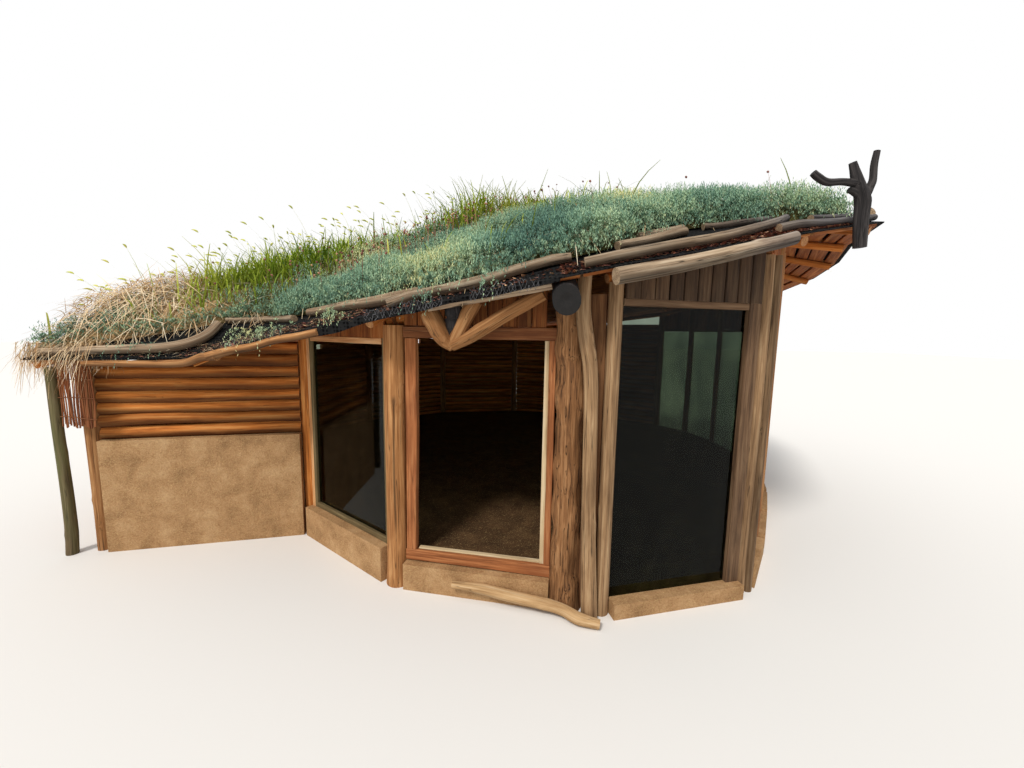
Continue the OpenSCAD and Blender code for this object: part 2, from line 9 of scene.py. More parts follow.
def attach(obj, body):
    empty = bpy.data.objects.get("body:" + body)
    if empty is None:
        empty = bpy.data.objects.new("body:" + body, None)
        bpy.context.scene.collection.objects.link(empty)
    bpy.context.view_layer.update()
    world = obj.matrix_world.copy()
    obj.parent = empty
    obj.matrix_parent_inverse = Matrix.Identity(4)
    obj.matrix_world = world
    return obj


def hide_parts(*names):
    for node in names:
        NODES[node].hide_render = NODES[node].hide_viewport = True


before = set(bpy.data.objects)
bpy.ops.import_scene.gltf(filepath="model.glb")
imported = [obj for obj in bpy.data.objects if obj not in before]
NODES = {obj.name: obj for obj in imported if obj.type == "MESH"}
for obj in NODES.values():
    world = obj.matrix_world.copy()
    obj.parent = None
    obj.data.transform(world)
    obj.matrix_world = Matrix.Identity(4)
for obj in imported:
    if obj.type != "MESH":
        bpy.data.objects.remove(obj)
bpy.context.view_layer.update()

DOWN, UP = Vector((0, 0, -1)), Vector((0, 0, 1))
TURN = 2 * math.pi
MM = 0.001
RING_EDGE = 0.032  # longer than a side of a bent pole's twelve-sided ring, in metres


# random numbers and noise

def rng_for(seed):
    return np.random.RandomState(seed)


def soft_noise(rows, cols, row_len, col_len, rng, spare=0):
    """Smooth noise on a grid, about -1 to 1, cut from one that is periodic in both directions."""
    field = rng.normal(size=(rows * 2 + spare, cols))
    fr = np.fft.fftfreq(rows * 2 + spare)[:, None] * row_len
    fc = np.fft.fftfreq(cols)[None, :] * col_len
    smooth = np.fft.ifft2(np.fft.fft2(field) * np.exp(-(fr ** 2 + fc ** 2) * 8)).real
    smooth -= smooth.mean()
    return (smooth / (smooth.std() * 2 + 1e-9))[:rows]


def unit(v):
    return v / (np.linalg.norm(v) + 1e-12)


# mesh chunks: dict of verts, grain coordinates, tint and faces by material

def chunk(verts, grain, tint, faces):
    """faces is a list of (array of corner rows, material index, smooth)."""
    tint = np.broadcast_to(np.asarray(tint, float), (len(verts),))
    return {"v": verts, "g": grain, "t": tint, "f": faces}


def build(name, chunks, mats, replaces=()):
    """Joins the chunks to one mesh object that rides on the house."""
    faces, start = [], 0
    for c in chunks:
        faces += [(rows + start, mat, smooth) for rows, mat, smooth in c["f"]]
        start += len(c["v"])
    sizes = np.concatenate([np.full(len(rows), rows.shape[1]) for rows, _, _ in faces])
    loops = np.concatenate([rows.ravel() for rows, _, _ in faces])
    verts, grain, tint = (np.concatenate([c[key] for c in chunks]) for key in "vgt")
    me = bpy.data.meshes.new(name)
    me.vertices.add(len(verts))
    me.loops.add(len(loops))
    me.polygons.add(len(sizes))
    mats_of, smooth_of = (np.concatenate([np.full(len(face[0]), face[k]) for face in faces]) for k in (1, 2))
    for target, key, values, kind in ((me.vertices, "co", verts, np.float32),
                                      (me.loops, "vertex_index", loops, np.int32),
                                      (me.polygons, "loop_start", np.cumsum(sizes) - sizes, np.int32),
                                      (me.polygons, "material_index", mats_of, np.int32),
                                      (me.polygons, "use_smooth", smooth_of, bool)):
        target.foreach_set(key, values.astype(kind).ravel())
    me.update(calc_edges=True)
    for key, kind, field, values in (("grain", "FLOAT_VECTOR", "vector", grain),
                                     ("tint", "FLOAT", "value", tint)):
        me.attributes.new(key, kind, "POINT").data.foreach_set(field, values.astype(np.float32).ravel())
    me.validate()
    for m in mats:
        me.materials.append(m)
    obj = bpy.data.objects.new(name, me)
    bpy.context.scene.collection.objects.link(obj)
    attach(obj, "root")
    if replaces:
        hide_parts(*replaces)


# reading the solids of a CAD node

def node_mesh(node):
    obj = NODES[node]
    me = obj.data
    co = np.empty(len(me.vertices) * 3, np.float32)
    me.vertices.foreach_get("co", co)
    mat = np.array(obj.matrix_world)
    co = co.reshape(-1, 3).astype(float) @ mat[:3, :3].T + mat[:3, 3]
    me.calc_loop_triangles()
    tris = np.empty(len(me.loop_triangles) * 3, np.int32)
    me.loop_triangles.foreach_get("vertices", tris)
    _, keep, inverse = np.unique(np.round(co, 5), axis=0, return_index=True, return_inverse=True)
    return co[keep], inverse.ravel()[tris].reshape(-1, 3)


def box_of(node):
    co, _ = node_mesh(node)
    return co.min(0), co.max(0)


def tree_of(node):
    co, tris = node_mesh(node)
    return BVHTree.FromPolygons([Vector(p) for p in co], [list(map(int, t)) for t in tris])


def groups(count, pairs):
    """A group number for each point, equal where pairs join the points."""
    label = np.arange(count)
    while True:
        low = np.minimum(label[pairs[:, 0]], label[pairs[:, 1]])
        new = label.copy()
        np.minimum.at(new, pairs[:, 0], low)
        np.minimum.at(new, pairs[:, 1], low)
        if (new == label).all():
            return label
        label = new


def edges_of(tris):
    return np.concatenate([tris[:, [0, 1]], tris[:, [1, 2]], tris[:, [2, 0]]])


def solids(node):
    """Vertices of each separate solid of a node, in a steady order."""
    co, tris = node_mesh(node)
    label = groups(len(co), edges_of(tris))
    parts = [co[label == k] for k in np.unique(label[np.unique(tris)])]
    return sorted(parts, key=lambda p: tuple(np.round(p.mean(0), 3)))


def bent_paths(node):
    """Centre line and radii of each bent pole, read from its rings of vertices, left to right."""
    co, tris = node_mesh(node)
    edges = edges_of(tris)
    body = groups(len(co), edges)
    short = np.linalg.norm(co[edges[:, 0]] - co[edges[:, 1]], axis=1) < RING_EDGE
    ring = groups(len(co), edges[short])
    links = {tuple(e) for e in ring[edges] if e[0] != e[1]}
    paths = []
    for k in np.unique(body):
        names = list(np.unique(ring[body == k]))
        near = {r: [b for a, b in links if a == r] + [a for a, b in links if b == r] for r in names}
        walk = [min((r for r in names if len(set(near[r])) == 1), key=lambda r: co[ring == r][:, 0].mean())]
        while len(walk) < len(names):
            walk.append(next(r for r in near[walk[-1]] if r not in walk))
        mids = np.array([co[ring == r].mean(0) for r in walk])
        radii = [np.linalg.norm(co[ring == r] - m, axis=1).mean() * 0.97 for r, m in zip(walk, mids)]
        paths.append((mids, radii))
    return sorted(paths, key=lambda p: p[0][:, 0].mean())


def rod_of(part, swell):
    """Three points and radii along a round rod."""
    mid = part.mean(0)
    axis = np.linalg.svd(part - mid, full_matrices=False)[2][0]
    if axis[2] < -0.2 or (abs(axis[2]) <= 0.2 and axis[0] < 0):
        axis = -axis
    s = (part - mid) @ axis
    off = part - mid - s[:, None] * axis
    ends = []
    for at, mask in ((s.min(), s < s.min() + 1e-3), (s.max(), s > s.max() - 1e-3)):
        centre = off[mask].mean(0)
        ends.append((mid + centre + axis * at, np.linalg.norm(off[mask] - centre, axis=1).max()))
    (a, r0), (b, r1) = ends
    return [a, (a + b) / 2, b], np.array([r0, (r0 + r1) / 2, r1]) * swell


def block_of(part, upright, tilted):
    """Centre, three axes and half sizes of a box, the upright axis or else the longest one first."""
    if tilted:
        axes = list(np.linalg.svd(part - part.mean(0), full_matrices=False)[2])
    else:
        flat = part[:, :2] - part[:, :2].mean(0)
        d = np.linalg.svd(flat, full_matrices=False)[2][0]
        axes = [np.array([d[0], d[1], 0]), np.array([-d[1], d[0], 0]), np.array([0, 0, 1.0])]
    spans = [((part @ a).min(), (part @ a).max()) for a in axes]
    mid = sum(a * (lo + hi) / 2 for a, (lo, hi) in zip(axes, spans))
    return mid, *by_length(axes, [(hi - lo) / 2 for lo, hi in spans], 2 if upright else None)


def by_length(axes, half, lead=None):
    """The axes and half sizes from the longest one down, with the lead axis put first."""
    order = sorted(np.argsort(half)[::-1], key=lambda k: k != lead)
    return [axes[k] for k in order], [half[k] for k in order]


class Bay:
    """Wall coordinates between two posts, in millimetres: x along the wall, y inward, z up."""

    def __init__(self, *posts):
        p, q = ((low[:2] + high[:2]) / 2 for low, high in map(box_of, posts))
        d = unit(q - p)
        self.origin = np.array([*p, 0.0])
        self.axes = np.array([[d[0], d[1], 0], [-d[1], d[0], 0], [0, 0, 1.0]])

    def at(self, x, y, z):
        return self.origin + np.array([x, y, z]) * MM @ self.axes

    def board(self, x, y, z, rng, **options):
        """A board that fills the ranges x, y and z, along its longest side."""
        mid = self.at(*[(lo + hi) / 2 for lo, hi in (x, y, z)])
        return board(mid, *by_length(self.axes, [(hi - lo) / 2 * MM for lo, hi in (x, y, z)]), rng, **options)


# timber forms

def smooth_path(points, step):
    """Catmull-Rom curve through the points, resampled about every step, with its parameter."""
    p = np.asarray(points, float)
    ext = np.vstack([2 * p[0] - p[1], p, 2 * p[-1] - p[-2]])
    out, par = [], []
    for k in range(len(p) - 1):
        a, b, c, d = ext[k:k + 4]
        n = max(2, int(math.ceil(np.linalg.norm(c - b) / step)))
        last = 1 if k == len(p) - 2 else 0
        for t in np.linspace(0, 1, n + 1)[:n + last]:
            out.append(0.5 * (2 * b + (c - a) * t + (2 * a - 5 * b + 4 * c - d) * t ** 2
                              + (3 * b - a - 3 * c + d) * t ** 3))
            par.append(k + t)
    return np.array(out), np.array(par)


def frames(path):
    """The tangent and two unit normals a point, carried along the path without twist."""
    tan = np.gradient(path, axis=0)
    tan /= np.linalg.norm(tan, axis=1)[:, None]
    ref = np.array([0, 0, 1.0]) if abs(tan[0][2]) < 0.9 else np.array([0, -1.0, 0])
    n = unit(ref - tan[0] * (ref @ tan[0]))
    ns = []
    for t in tan:
        n = unit(n - t * (n @ t))
        ns.append(n)
    ns = np.array(ns)
    return tan, ns, np.cross(tan, ns)


def ring_quads(rows, cols):
    i, j = np.meshgrid(np.arange(rows - 1), np.arange(cols), indexing="ij")
    a, b = i * cols + j, i * cols + (j + 1) % cols
    return np.stack([a, b, b + cols, a + cols], -1).reshape(-1, 4)


def cap_faces(start, cols, rings, flip):
    """Faces that close an end: rings inside the rim, and a fan round a centre point."""
    j = np.arange(cols)
    k = (j + 1) % cols
    last = start + cols * (rings - 1)
    faces = [np.stack([a + j, a + k, a + cols + k, a + cols + j], -1) for a in range(start, last, cols)]
    faces.append(np.stack([last + j, last + k, np.full(cols, last + cols)], -1))
    return [(f[:, ::-1] if flip else f, 1, False) for f in faces]


def split_of(split, s, ang):
    """How deep a drying crack is cut, 0 to 1; split is its angle, its foot and the height of its knot."""
    angle, low, high = split
    wander, fade_in, fade_out, width = 0.05, 0.2, 0.03, 0.06
    knot_len, knot_wide = 0.03, 0.17
    da = np.angle(np.exp(1j * (ang - angle - wander * np.sin(s * 5))))
    run = np.clip((s - low) / fade_in, 0, 1) * np.clip((high - s) / fade_out, 0, 1)
    knot = np.exp(-((s - high) / knot_len) ** 2 - (da / knot_wide) ** 2)
    return np.maximum(np.exp(-(da / width) ** 2) * run, knot)


def pole_radii(rad, s, ang, big, rng, lump, oval, knots, ridges):
    """Radius over rows and sides: lumps, an oval section, knots and bark ridges."""
    knot_high, knot_len, knot_wide = 0.14, 0.045, 0.5
    rib_rows, rib_wide = 5.4, 0.07  # length of a bark rib in rows, and its width as a share of the sides
    r = rad * (1 + lump * big + oval * np.cos(2 * (ang + rng.uniform(0, 6))))
    for _ in range(knots):
        s0, a0 = rng.uniform(0.08, 0.92) * s[-1], rng.uniform(0, TURN)
        da = np.angle(np.exp(1j * (ang - a0)))
        size = rng.uniform(0.6, 1.1)
        r += rad * knot_high * size * np.exp(-((s - s0) / (knot_len * size)) ** 2 - (da / knot_wide) ** 2)
    if ridges:
        ribs = soft_noise(*big.shape, rib_rows, big.shape[1] * rib_wide, rng)
        r += ridges * np.clip(ribs * 1.5, -1, 1)
    return r


def pole(points, radii, rng, tint, lump=0.05, sides=14, step=0.05, bend=0.0, knots=2, oval=0.05,
         ridges=0.0, flare=0.0, cap_dent=0.0, stain=0.0, split=None):
    """A natural pole along the points, with cut ends; it is darker below by a painted shade, and flare widens
    its foot.
    """
    split_deep, flare_len = 0.012, 0.12
    path, par = smooth_path(points, step)
    tan, nx, ny = frames(path)
    rows = len(path)
    s = np.concatenate([[0], np.cumsum(np.linalg.norm(np.diff(path, axis=0), axis=1))])[:, None]
    if bend:
        fixed_ends = np.minimum(1, np.sin(math.pi * s / s[-1]) * 3)
        wob = soft_noise(rows, 2, 0.35 * rows, 0, rng)
        path = path + (nx * wob[:, :1] + ny * wob[:, 1:2]) * (bend * fixed_ends)
    ang = (np.arange(sides) / sides * TURN)[None, :]
    big = soft_noise(rows, sides, max(4, rows * 0.5), sides * 0.5, rng)
    rad = np.interp(par, np.arange(len(radii)), radii)[:, None]
    r = pole_radii(rad, s, ang, big, rng, lump, oval, knots, ridges)
    cut = split_of(split, s, ang) if split else 0.0
    r -= split_deep * cut
    if flare:
        r += flare * np.exp(-s / flare_len) * (1 + 0.3 * big)
    cos, sin = np.cos(ang), np.sin(ang)
    shape = path[:, None] + (nx[:, None] * cos[..., None] + ny[:, None] * sin[..., None]) * r[..., None]
    off = rng.uniform(-20, 20, 3)
    grain = np.stack([cos * r, sin * r, np.broadcast_to(s, r.shape)], -1)
    # painted shade: the tint darkens, in patches, on the side of the pole that faces down
    below = np.clip(0.25 - (nx[:, 2:] * cos + ny[:, 2:] * sin), 0, 1)
    # painted shade: the cut crack and its knot darken almost to black
    shade = (1 - 0.97 * cut) * (1 - stain * np.minimum(1, below * 1.6 + 0.25 * big * stain))
    verts, grains = [shape.reshape(-1, 3)], [grain.reshape(-1, 3)]
    faces = [(ring_quads(rows, sides), 0, True)]
    for row, inward in ((0, 1), (rows - 1, -1)):
        mid = shape[row].mean(0)
        verts += [shape[row], mid + (shape[row] - mid) * 0.5, (mid + tan[row] * cap_dent * inward)[None]]
        grains += [grain[row], grain[row] * [0.5, 0.5, 1], np.array([[0, 0, s[row, 0]]])]
        faces += cap_faces(rows * sides + (0 if row == 0 else 2 * sides + 1), sides, 2, row == 0)
    tints = np.concatenate([(tint * shade * np.ones(r.shape)).ravel(), np.full(4 * sides + 2, tint)])
    return chunk(np.concatenate(verts), np.concatenate(grains) + off, tints, faces)


def board(mid, axes, half, rng, tint, live=0.0, chamfer=0.004, step=0.06, warp=0.002, crown=0.0):
    """A sawn board along axes[0]; live makes its edges wander, crown rounds its face outward."""
    ex, ey, ez = axes
    if np.cross(ex, ey) @ ez < 0:
        ez = -ez
    lx, ly, lz = half
    rows = max(3, int(2 * lx / step) + 1)
    s = np.linspace(-lx, lx, rows)
    c = min(chamfer, ly * 0.4, lz * 0.4)
    half_prof = np.array([[-ly + c, -lz], [-ly / 3, -lz], [ly / 3, -lz], [ly - c, -lz], [ly, -lz + c],
                          [ly, lz - c]])
    prof = np.concatenate([half_prof, -half_prof])
    cols = len(prof)
    wob = soft_noise(rows, 4, 0.16 / step * 6, 0, rng, 8)
    fine = soft_noise(rows, cols, 0.05 / step * 4, 2, rng, 8)
    side = np.clip(prof[:, 0] / ly, -1, 1)
    edge = np.where(np.abs(side) > 0.7, np.sign(side), 0)
    shift = np.where(edge[None] > 0, wob[:, :1], wob[:, 1:2]) * live
    y = prof[None, :, 0] - np.abs(edge)[None] * np.abs(shift) * edge[None] * 1.6
    z = prof[None, :, 1] + fine * warp * 0.5 + wob[:, 2:3] * warp
    if crown:
        bulge = crown * (1 - (prof[:, 0] / ly) ** 2)
        z = z + np.where(prof[:, 1] > 0, bulge, -bulge * 0.2)[None]
    shape = mid + s[:, None, None] * ex + y[:, :, None] * ey + z[:, :, None] * ez
    off = rng.uniform(-20, 20, 3)
    grain = np.stack([y, z, np.repeat(s[:, None], cols, 1)], -1) + off
    verts, grains = [shape.reshape(-1, 3)], [grain.reshape(-1, 3)]
    faces = [(ring_quads(rows, cols), 0, False)]
    for k, row in enumerate((0, rows - 1)):
        verts += [shape[row], shape[row].mean(0)[None]]
        grains += [grain[row], grain[row].mean(0)[None]]
        faces += cap_faces(rows * cols + k * (cols + 1), cols, 1, row == 0)
    return chunk(np.concatenate(verts), np.concatenate(grains), tint, faces)


# node materials

def colour(c):
    """Linear colour of a display colour written 0xRRGGBB, or of a grey level written as a float."""
    def linear(v):
        v /= 255
        return v / 12.92 if v <= 0.04045 else ((v + 0.055) / 1.055) ** 2.4
    return (c, c, c, 1) if isinstance(c, float) else (*[linear(c >> bits & 255) for bits in (16, 8, 0)], 1)


class Nodes:
    """Short ways to add and link the nodes of one tree."""

    def __init__(self, tree):
        self.tree = tree

    def feed(self, node, inputs):
        for key, value in inputs.items():
            if isinstance(value, bpy.types.NodeSocket):
                self.tree.links.new(value, node.inputs[key])
            else:
                node.inputs[key].default_value = value

    def add(self, kind, out, inputs, **settings):
        node = self.tree.nodes.new("ShaderNode" + kind)
        for key, value in settings.items():
            setattr(node, key, value)
        self.feed(node, inputs)
        return node.outputs[out]

    def attribute(self, name, out="Vector"):
        return self.add("Attribute", out, {}, attribute_name=name)

    def place(self):
        return self.add("TexCoord", "Object", {})

    def scaled(self, vec, scale):
        return self.add("Mapping", "Vector", {"Scale": scale, "Vector": vec})

    def axis(self, vec, name):
        return self.add("SeparateXYZ", name, {"Vector": vec})

    def noise(self, vec, scale, detail=3.0, rough=0.55, distort=0.0):
        return self.add("TexNoise", "Fac", {"Vector": vec, "Scale": scale, "Detail": detail,
                                            "Roughness": rough, "Distortion": distort})

    def ramp(self, fac, *stops):
        out = self.add("ValToRGB", "Color", {"Fac": fac})
        marks = out.node.color_ramp.elements
        while len(marks) < len(stops):
            marks.new(0.5)
        for mark, (position, c) in zip(marks, stops):
            mark.position, mark.color = position, colour(c)
        return out

    def mix(self, fac, a, b, mode="MIX"):
        a, b = (colour(c) if isinstance(c, (int, float)) else c for c in (a, b))
        return self.add("Mix", "Result", {"Factor": fac, "A": a, "B": b}, data_type="RGBA", blend_type=mode)

    def maths(self, operation, a, b):
        return self.add("Math", "Value", {0: a, 1: b}, operation=operation)


class Material(Nodes):
    def __init__(self, name):
        self.made = bpy.data.materials.new(name)
        self.made.use_nodes = True
        super().__init__(self.made.node_tree)

    def surface(self, col, rough, specular=0.5, bump=None, **more):
        """Sets the surface and returns the material; bump is height, strength and distance."""
        if bump:
            more["Normal"] = self.add("Bump", "Normal", dict(zip(("Height", "Strength", "Distance"), bump)))
        self.feed(self.tree.nodes["Principled BSDF"],
                  {"Base Color": col, "Roughness": rough, "Specular IOR Level": specular, **more})
        return self.made


def wood(name, dark, mid, pale, crack=0.5, streak=45.0, patch_col=None, patch=0.5, relief=0.6, kept=False,
         weathered=None):
    """Timber with fibre streaks, drying cracks, patches and a tone for each piece.

    kept is for a CAD node that keeps its shape; weathered has the colours that take over at the right."""
    m = Material(name)
    grain = m.place() if kept else m.attribute("grain")
    fibre = m.noise(m.scaled(grain, (streak, streak, streak * 0.045)), 1.0, 6, 0.65, 0.3)
    blotch = m.noise(m.scaled(grain, (6, 6, 1.4)), 1.0, 4, 0.6, 0.5)
    split = m.noise(m.scaled(grain, (30, 30, 0.5)), 1.0, 2, 0.5, 0.1)
    col = m.ramp(fibre, (0.28, dark), (0.5, mid), (0.74, pale))
    col = m.mix(m.ramp(blotch, (0.62 - patch * 0.3, 0.0), (0.8, 0.85)), col, patch_col or dark)
    if weathered:
        right = m.ramp(m.maths("DIVIDE", m.axis(m.place(), "X"), 4.0), (0.2, 0.0), (0.42, 0.8))
        col = m.mix(right, col, m.ramp(fibre, (0.3, weathered[0]), (0.7, weathered[1])))
    # dark crack lines: a painted shade in the drying cracks, which the bump cuts as grooves
    lines = m.ramp(split, (0.488, 1.0), (0.5, 1.0 - crack), (0.512, 1.0))
    col = m.mix(1.0, col, lines, "MULTIPLY")
    if not kept:
        # the tint holds each piece's own tone and, on poles, their painted shade below and in cracks
        tone = m.ramp(m.attribute("tint", "Fac"), (0.0, 0.12), (0.5, 0.42), (1.0, 1.0))
        col = m.mix(1.0, col, tone, "MULTIPLY")
    height = m.maths("ADD", m.maths("MULTIPLY", fibre, 0.5), lines)
    return m.surface(col, 0.8, 0.25, (height, relief, 0.006))


def end_grain(name, dark, pale):
    """Cut end of a pole, with growth rings and darker spots."""
    m = Material(name)
    grain = m.attribute("grain")
    ring = m.noise(grain, 170.0, 2)
    spots = m.ramp(m.noise(grain, 25, 3), (0.4, 0.0), (0.7, 0.6))
    col = m.mix(spots, m.ramp(ring, (0.3, dark), (0.7, pale)), dark)
    return m.surface(col, 0.85, bump=(ring, 0.4, 0.003))


def earthy(name, dark, mid, pale, scale, straws, heap=None):
    """Clay, soil or litter in object coordinates, with straw flecks, and dry round a heap."""
    m = Material(name)
    place = m.place()
    broad = m.noise(place, scale, 5, 0.6, 0.3)
    fine = m.noise(place, scale * 14, 5, 0.7)
    col = m.ramp(broad, (0.3, dark), (0.5, mid), (0.7, pale))
    col = m.mix(0.45, col, m.ramp(fine, (0.3, dark), (0.7, pale)))
    flecks = m.noise(m.scaled(place, (90, 90, 260)), 1.0, 2, 0.5, 1.5)
    mask = m.ramp(flecks, (0.60, 0.0), (0.66, 1.0))
    col = m.mix(m.maths("MULTIPLY", mask, straws), col, 0xCDAF78)
    if heap:
        far = m.add("VectorMath", "Value", {0: place, 1: heap}, operation="DISTANCE")
        near = m.ramp(m.maths("DIVIDE", far, 2.0), (0.42, 1.0), (0.6, 0.0))
        col = m.mix(near, col, m.ramp(fine, (0.3, 0x805E3A), (0.7, 0xCEB080)))
    height = m.maths("ADD", broad, m.maths("MULTIPLY", fine, 0.5))
    return m.surface(col, 0.95, 0.1, (height, 0.8, 0.02))


def leafy(name, foot, *stops):
    """Plant material whose colour follows each leaf's tint, darker towards the foot by a painted shade among
    the stems.
    """
    m = Material(name)
    vary = m.maths("SUBTRACT", m.noise(m.place(), 2.5, 3), 0.5)
    fac = m.maths("ADD", m.attribute("tint", "Fac"), m.maths("MULTIPLY", vary, 0.5))
    # painted shade: darker towards the foot of each stem
    shade = m.ramp(m.axis(m.attribute("grain"), "Z"), (0.0, foot), (0.6, 0.85), (1.0, 1.0))
    return m.surface(m.mix(1.0, m.ramp(fac, *stops), shade, "MULTIPLY"), 0.65, 0.25)


def glass_material():
    """Dim greenish panes, a little dusty, which keep the room behind them dark."""
    m = Material("window_glass")
    cloud = m.noise(m.scaled(m.place(), (1.6, 1.6, 0.7)), 1.0, 5, 0.65, 0.8)
    col = m.ramp(cloud, (0.35, 0x5C685E), (0.65, 0x869280))
    return m.surface(col, 0.03, **{"Transmission Weight": 1.0, "IOR": 1.18})


def membrane_material():
    """Black dimpled drainage sheet, pale grey between the dimples: dust, with a painted highlight."""
    m = Material("drain_sheet")
    place = m.place()
    cells = m.add("TexVoronoi", "Distance", {"Scale": 34.0, "Randomness": 0.15, "Vector": place})
    dimple = m.ramp(cells, (0.30, 0.0), (0.45, 1.0))
    # the grey between the dimples is partly dust and partly a painted highlight
    dust_and_highlight = m.mix(m.noise(place, 7.0, 4), 0x0C0C0D, 0x363636)
    col = m.mix(m.maths("MULTIPLY", dimple, 0.7), 0x080809, dust_and_highlight)
    return m.surface(col, 0.9, 0.05, (dimple, 0.7, 0.008))


def metal_wire():
    m = Material("wire")
    rust = m.noise(m.place(), 20.0, 3)
    col = m.ramp(rust, (0.3, 0x3C3C3E), (0.7, 0x76767A))
    return m.surface(col, 0.6, bump=(rust, 0.2, 0.001))


HEAP_AT, HEAP_OUT = (-4.3, -2.05), 0.78  # middle and reach in metres of the straw heap at the left end

W_ORANGE = wood("pole_orange", 0x904C1A, 0xDA843A, 0xF6B468, 0.45)
W_INSIDE = wood("timber_inside", 0x583218, 0x8C562C, 0xB07846, 0.4, kept=True)
W_POST = wood("post_pale", 0x7A4C26, 0xAE7A4A, 0xD4A470, 0.75, patch_col=0x7E4C24)
W_POST_GREY = wood("post_grey", 0x624830, 0x987856, 0xC2A47E, 0.8, patch_col=0x5E442C)
W_STILE = wood("stile_grey", 0x5C4C30, 0x806E4C, 0xA0906A, 0.4)
W_FRAME = wood("frame_red", 0x6E3E20, 0xA2643A, 0xC68C5C, 0.5, patch_col=0x68361E)
# pale wood, painted paler still as light on the bead's lit face
W_BEAD_LIT = wood("bead_pale", 0xB4966E, 0xD6BE96, 0xE8D6B6, 0.3)
W_BOARD = wood("board_orange", 0x683618, 0xA6602C, 0xCA8A4C, 0.5)
W_BROWN = wood("board_brown", 0x4A3626, 0x7A5C42, 0x9E8060, 0.6)
W_BARK = wood("bark", 0x422A1A, 0x8E623C, 0xBA8E62, 0.9, streak=60.0, relief=1.0)
W_DARKBOARD = wood("board_dark", 0x422A18, 0x744E30, 0x986E48, 0.6)
W_BEAM = wood("beam_dark", 0x1A181A, 0x3A3636, 0x686260, 0.7, relief=0.9)
W_GREY = wood("pole_grey", 0x624C38, 0xB69E82, 0xE0D0B6, 0.85, patch_col=0x6C503A, patch=0.75, relief=0.9,
              weathered=(0x42444C, 0x9698A0))
W_ROOT = wood("root_pale", 0x8C6842, 0xBE9A6E, 0xDCC29C, 0.5)
W_HEAD = wood("head_pale", 0xA87042, 0xD6A06C, 0xECC496, 0.4)
W_STICK = wood("stick", 0x60321C, 0x965832, 0xBA7E50, 0.3)
W_MOSS = wood("moss_wood", 0x463826, 0x746246, 0x968868, 0.6, patch_col=0x68703E, patch=0.9)
END_ORANGE = end_grain("end_orange", 0x7E4C26, 0xD29C64)
END_GREY = end_grain("end_grey", 0x68523C, 0xC4AA88)
END_DARK = end_grain("end_dark", 0x060606, 0x1E1A18)
CLAY = earthy("clay", 0x785636, 0xAA825A, 0xC8A47A, 5.0, 0.7)
EARTH = earthy("earth", 0x2E2016, 0x4C3624, 0x6A5036, 6.0, 0.4)
SOIL = earthy("soil", 0x2E2E1A, 0x4C542E, 0x7C7046, 4.0, 0.6, (*HEAP_AT, 2.1))
SEDUM = leafy("sedum", 0.3, (0.0, 0x567C70), (0.4, 0x80A68C), (0.75, 0xB8D0A6), (1.0, 0xE8E2A4))
GRASS = leafy("grass", 0.5, (0.0, 0x749628), (0.5, 0xB8C842), (1.0, 0xE2DE78))
STRAW = leafy("straw", 0.85, (0.0, 0xB08456), (0.5, 0xE8CA9E), (1.0, 0xFCEED0))
STALK = leafy("stalk", 0.8, (0.0, 0x623A32), (0.6, 0xA06858), (1.0, 0xC49C76))
GLASS = glass_material()
SHEET = membrane_material()
WIRE = metal_wire()

BAY_LEFT = Bay("post_left", "post_round")
BAY_DOOR = Bay("post_round", "post_bark")
BAY_CORNER = Bay("post_bark", "post_corner")


# poles and boards that stand for CAD nodes

def stand_in(node, make, parts, mats, seed, tone, spread, options):
    """Makes each part of a node anew, with tones that run from left to right with some scatter."""
    rng = rng_for(seed)
    tones = np.clip(np.linspace(*tone, len(parts)) + rng.uniform(-spread, spread, len(parts)), 0, 1)
    chunks = [make(*part, rng, tint, **options) for part, tint in zip(parts, tones)]
    build(node + "_timber", chunks, mats, (node,))


def poles_for(node, mats, slot, seed, tone=(0.9, 0.9), swell=1.0, spread=0.12, **options):
    rods = [rod_of(part, swell) for part in solids(node)]
    stand_in(node, pole, rods, mats, seed, tone, spread, options)


def bent_poles_for(node, mats, slot, seed, tone, **options):
    stand_in(node, pole, bent_paths(node), mats, seed, tone, 0.12, options)


def boards_for(node, mats, slot, seed, upright=False, tilted=False, tone=(0.85, 0.85), **options):
    blocks = [block_of(part, upright, tilted) for part in solids(node)]
    stand_in(node, board, blocks, mats, seed, tone, 0.15, options)


def posts():
    poles_for("post_left", [W_ORANGE, END_ORANGE], "post_pale", 12, (0.85, 0.85), sides=20)
    poles_for("post_round", [W_POST, END_ORANGE], "post_pale", 13, bend=0.004, knots=5, sides=80,
              flare=0.012, split=(0.1, 0.4, 1.54))
    poles_for("post_bark", [W_BARK, END_ORANGE], "bark", 14, sides=110, step=0.02, ridges=0.013,
              knots=3, flare=0.03)
    poles_for("post_corner", [W_POST_GREY, END_ORANGE], "post_pale", 15, lump=0.04, sides=20)
    poles_for("posts_right", [W_POST_GREY, END_ORANGE], "post_pale", 16, (1.0, 0.6), lump=0.06, bend=0.008,
              knots=3, sides=20)
    poles_for("side_posts", [W_POST, END_ORANGE], "post_pale", 17, lump=0.06, bend=0.004, knots=3)
    poles_for("back_posts", [W_POST, END_ORANGE], "post_pale", 18, (0.7, 0.7), lump=0.06, bend=0.004, knots=3)
    poles_for("stub_post", [W_MOSS, END_GREY], "moss", 19, lump=0.1, knots=4, bend=0.01)


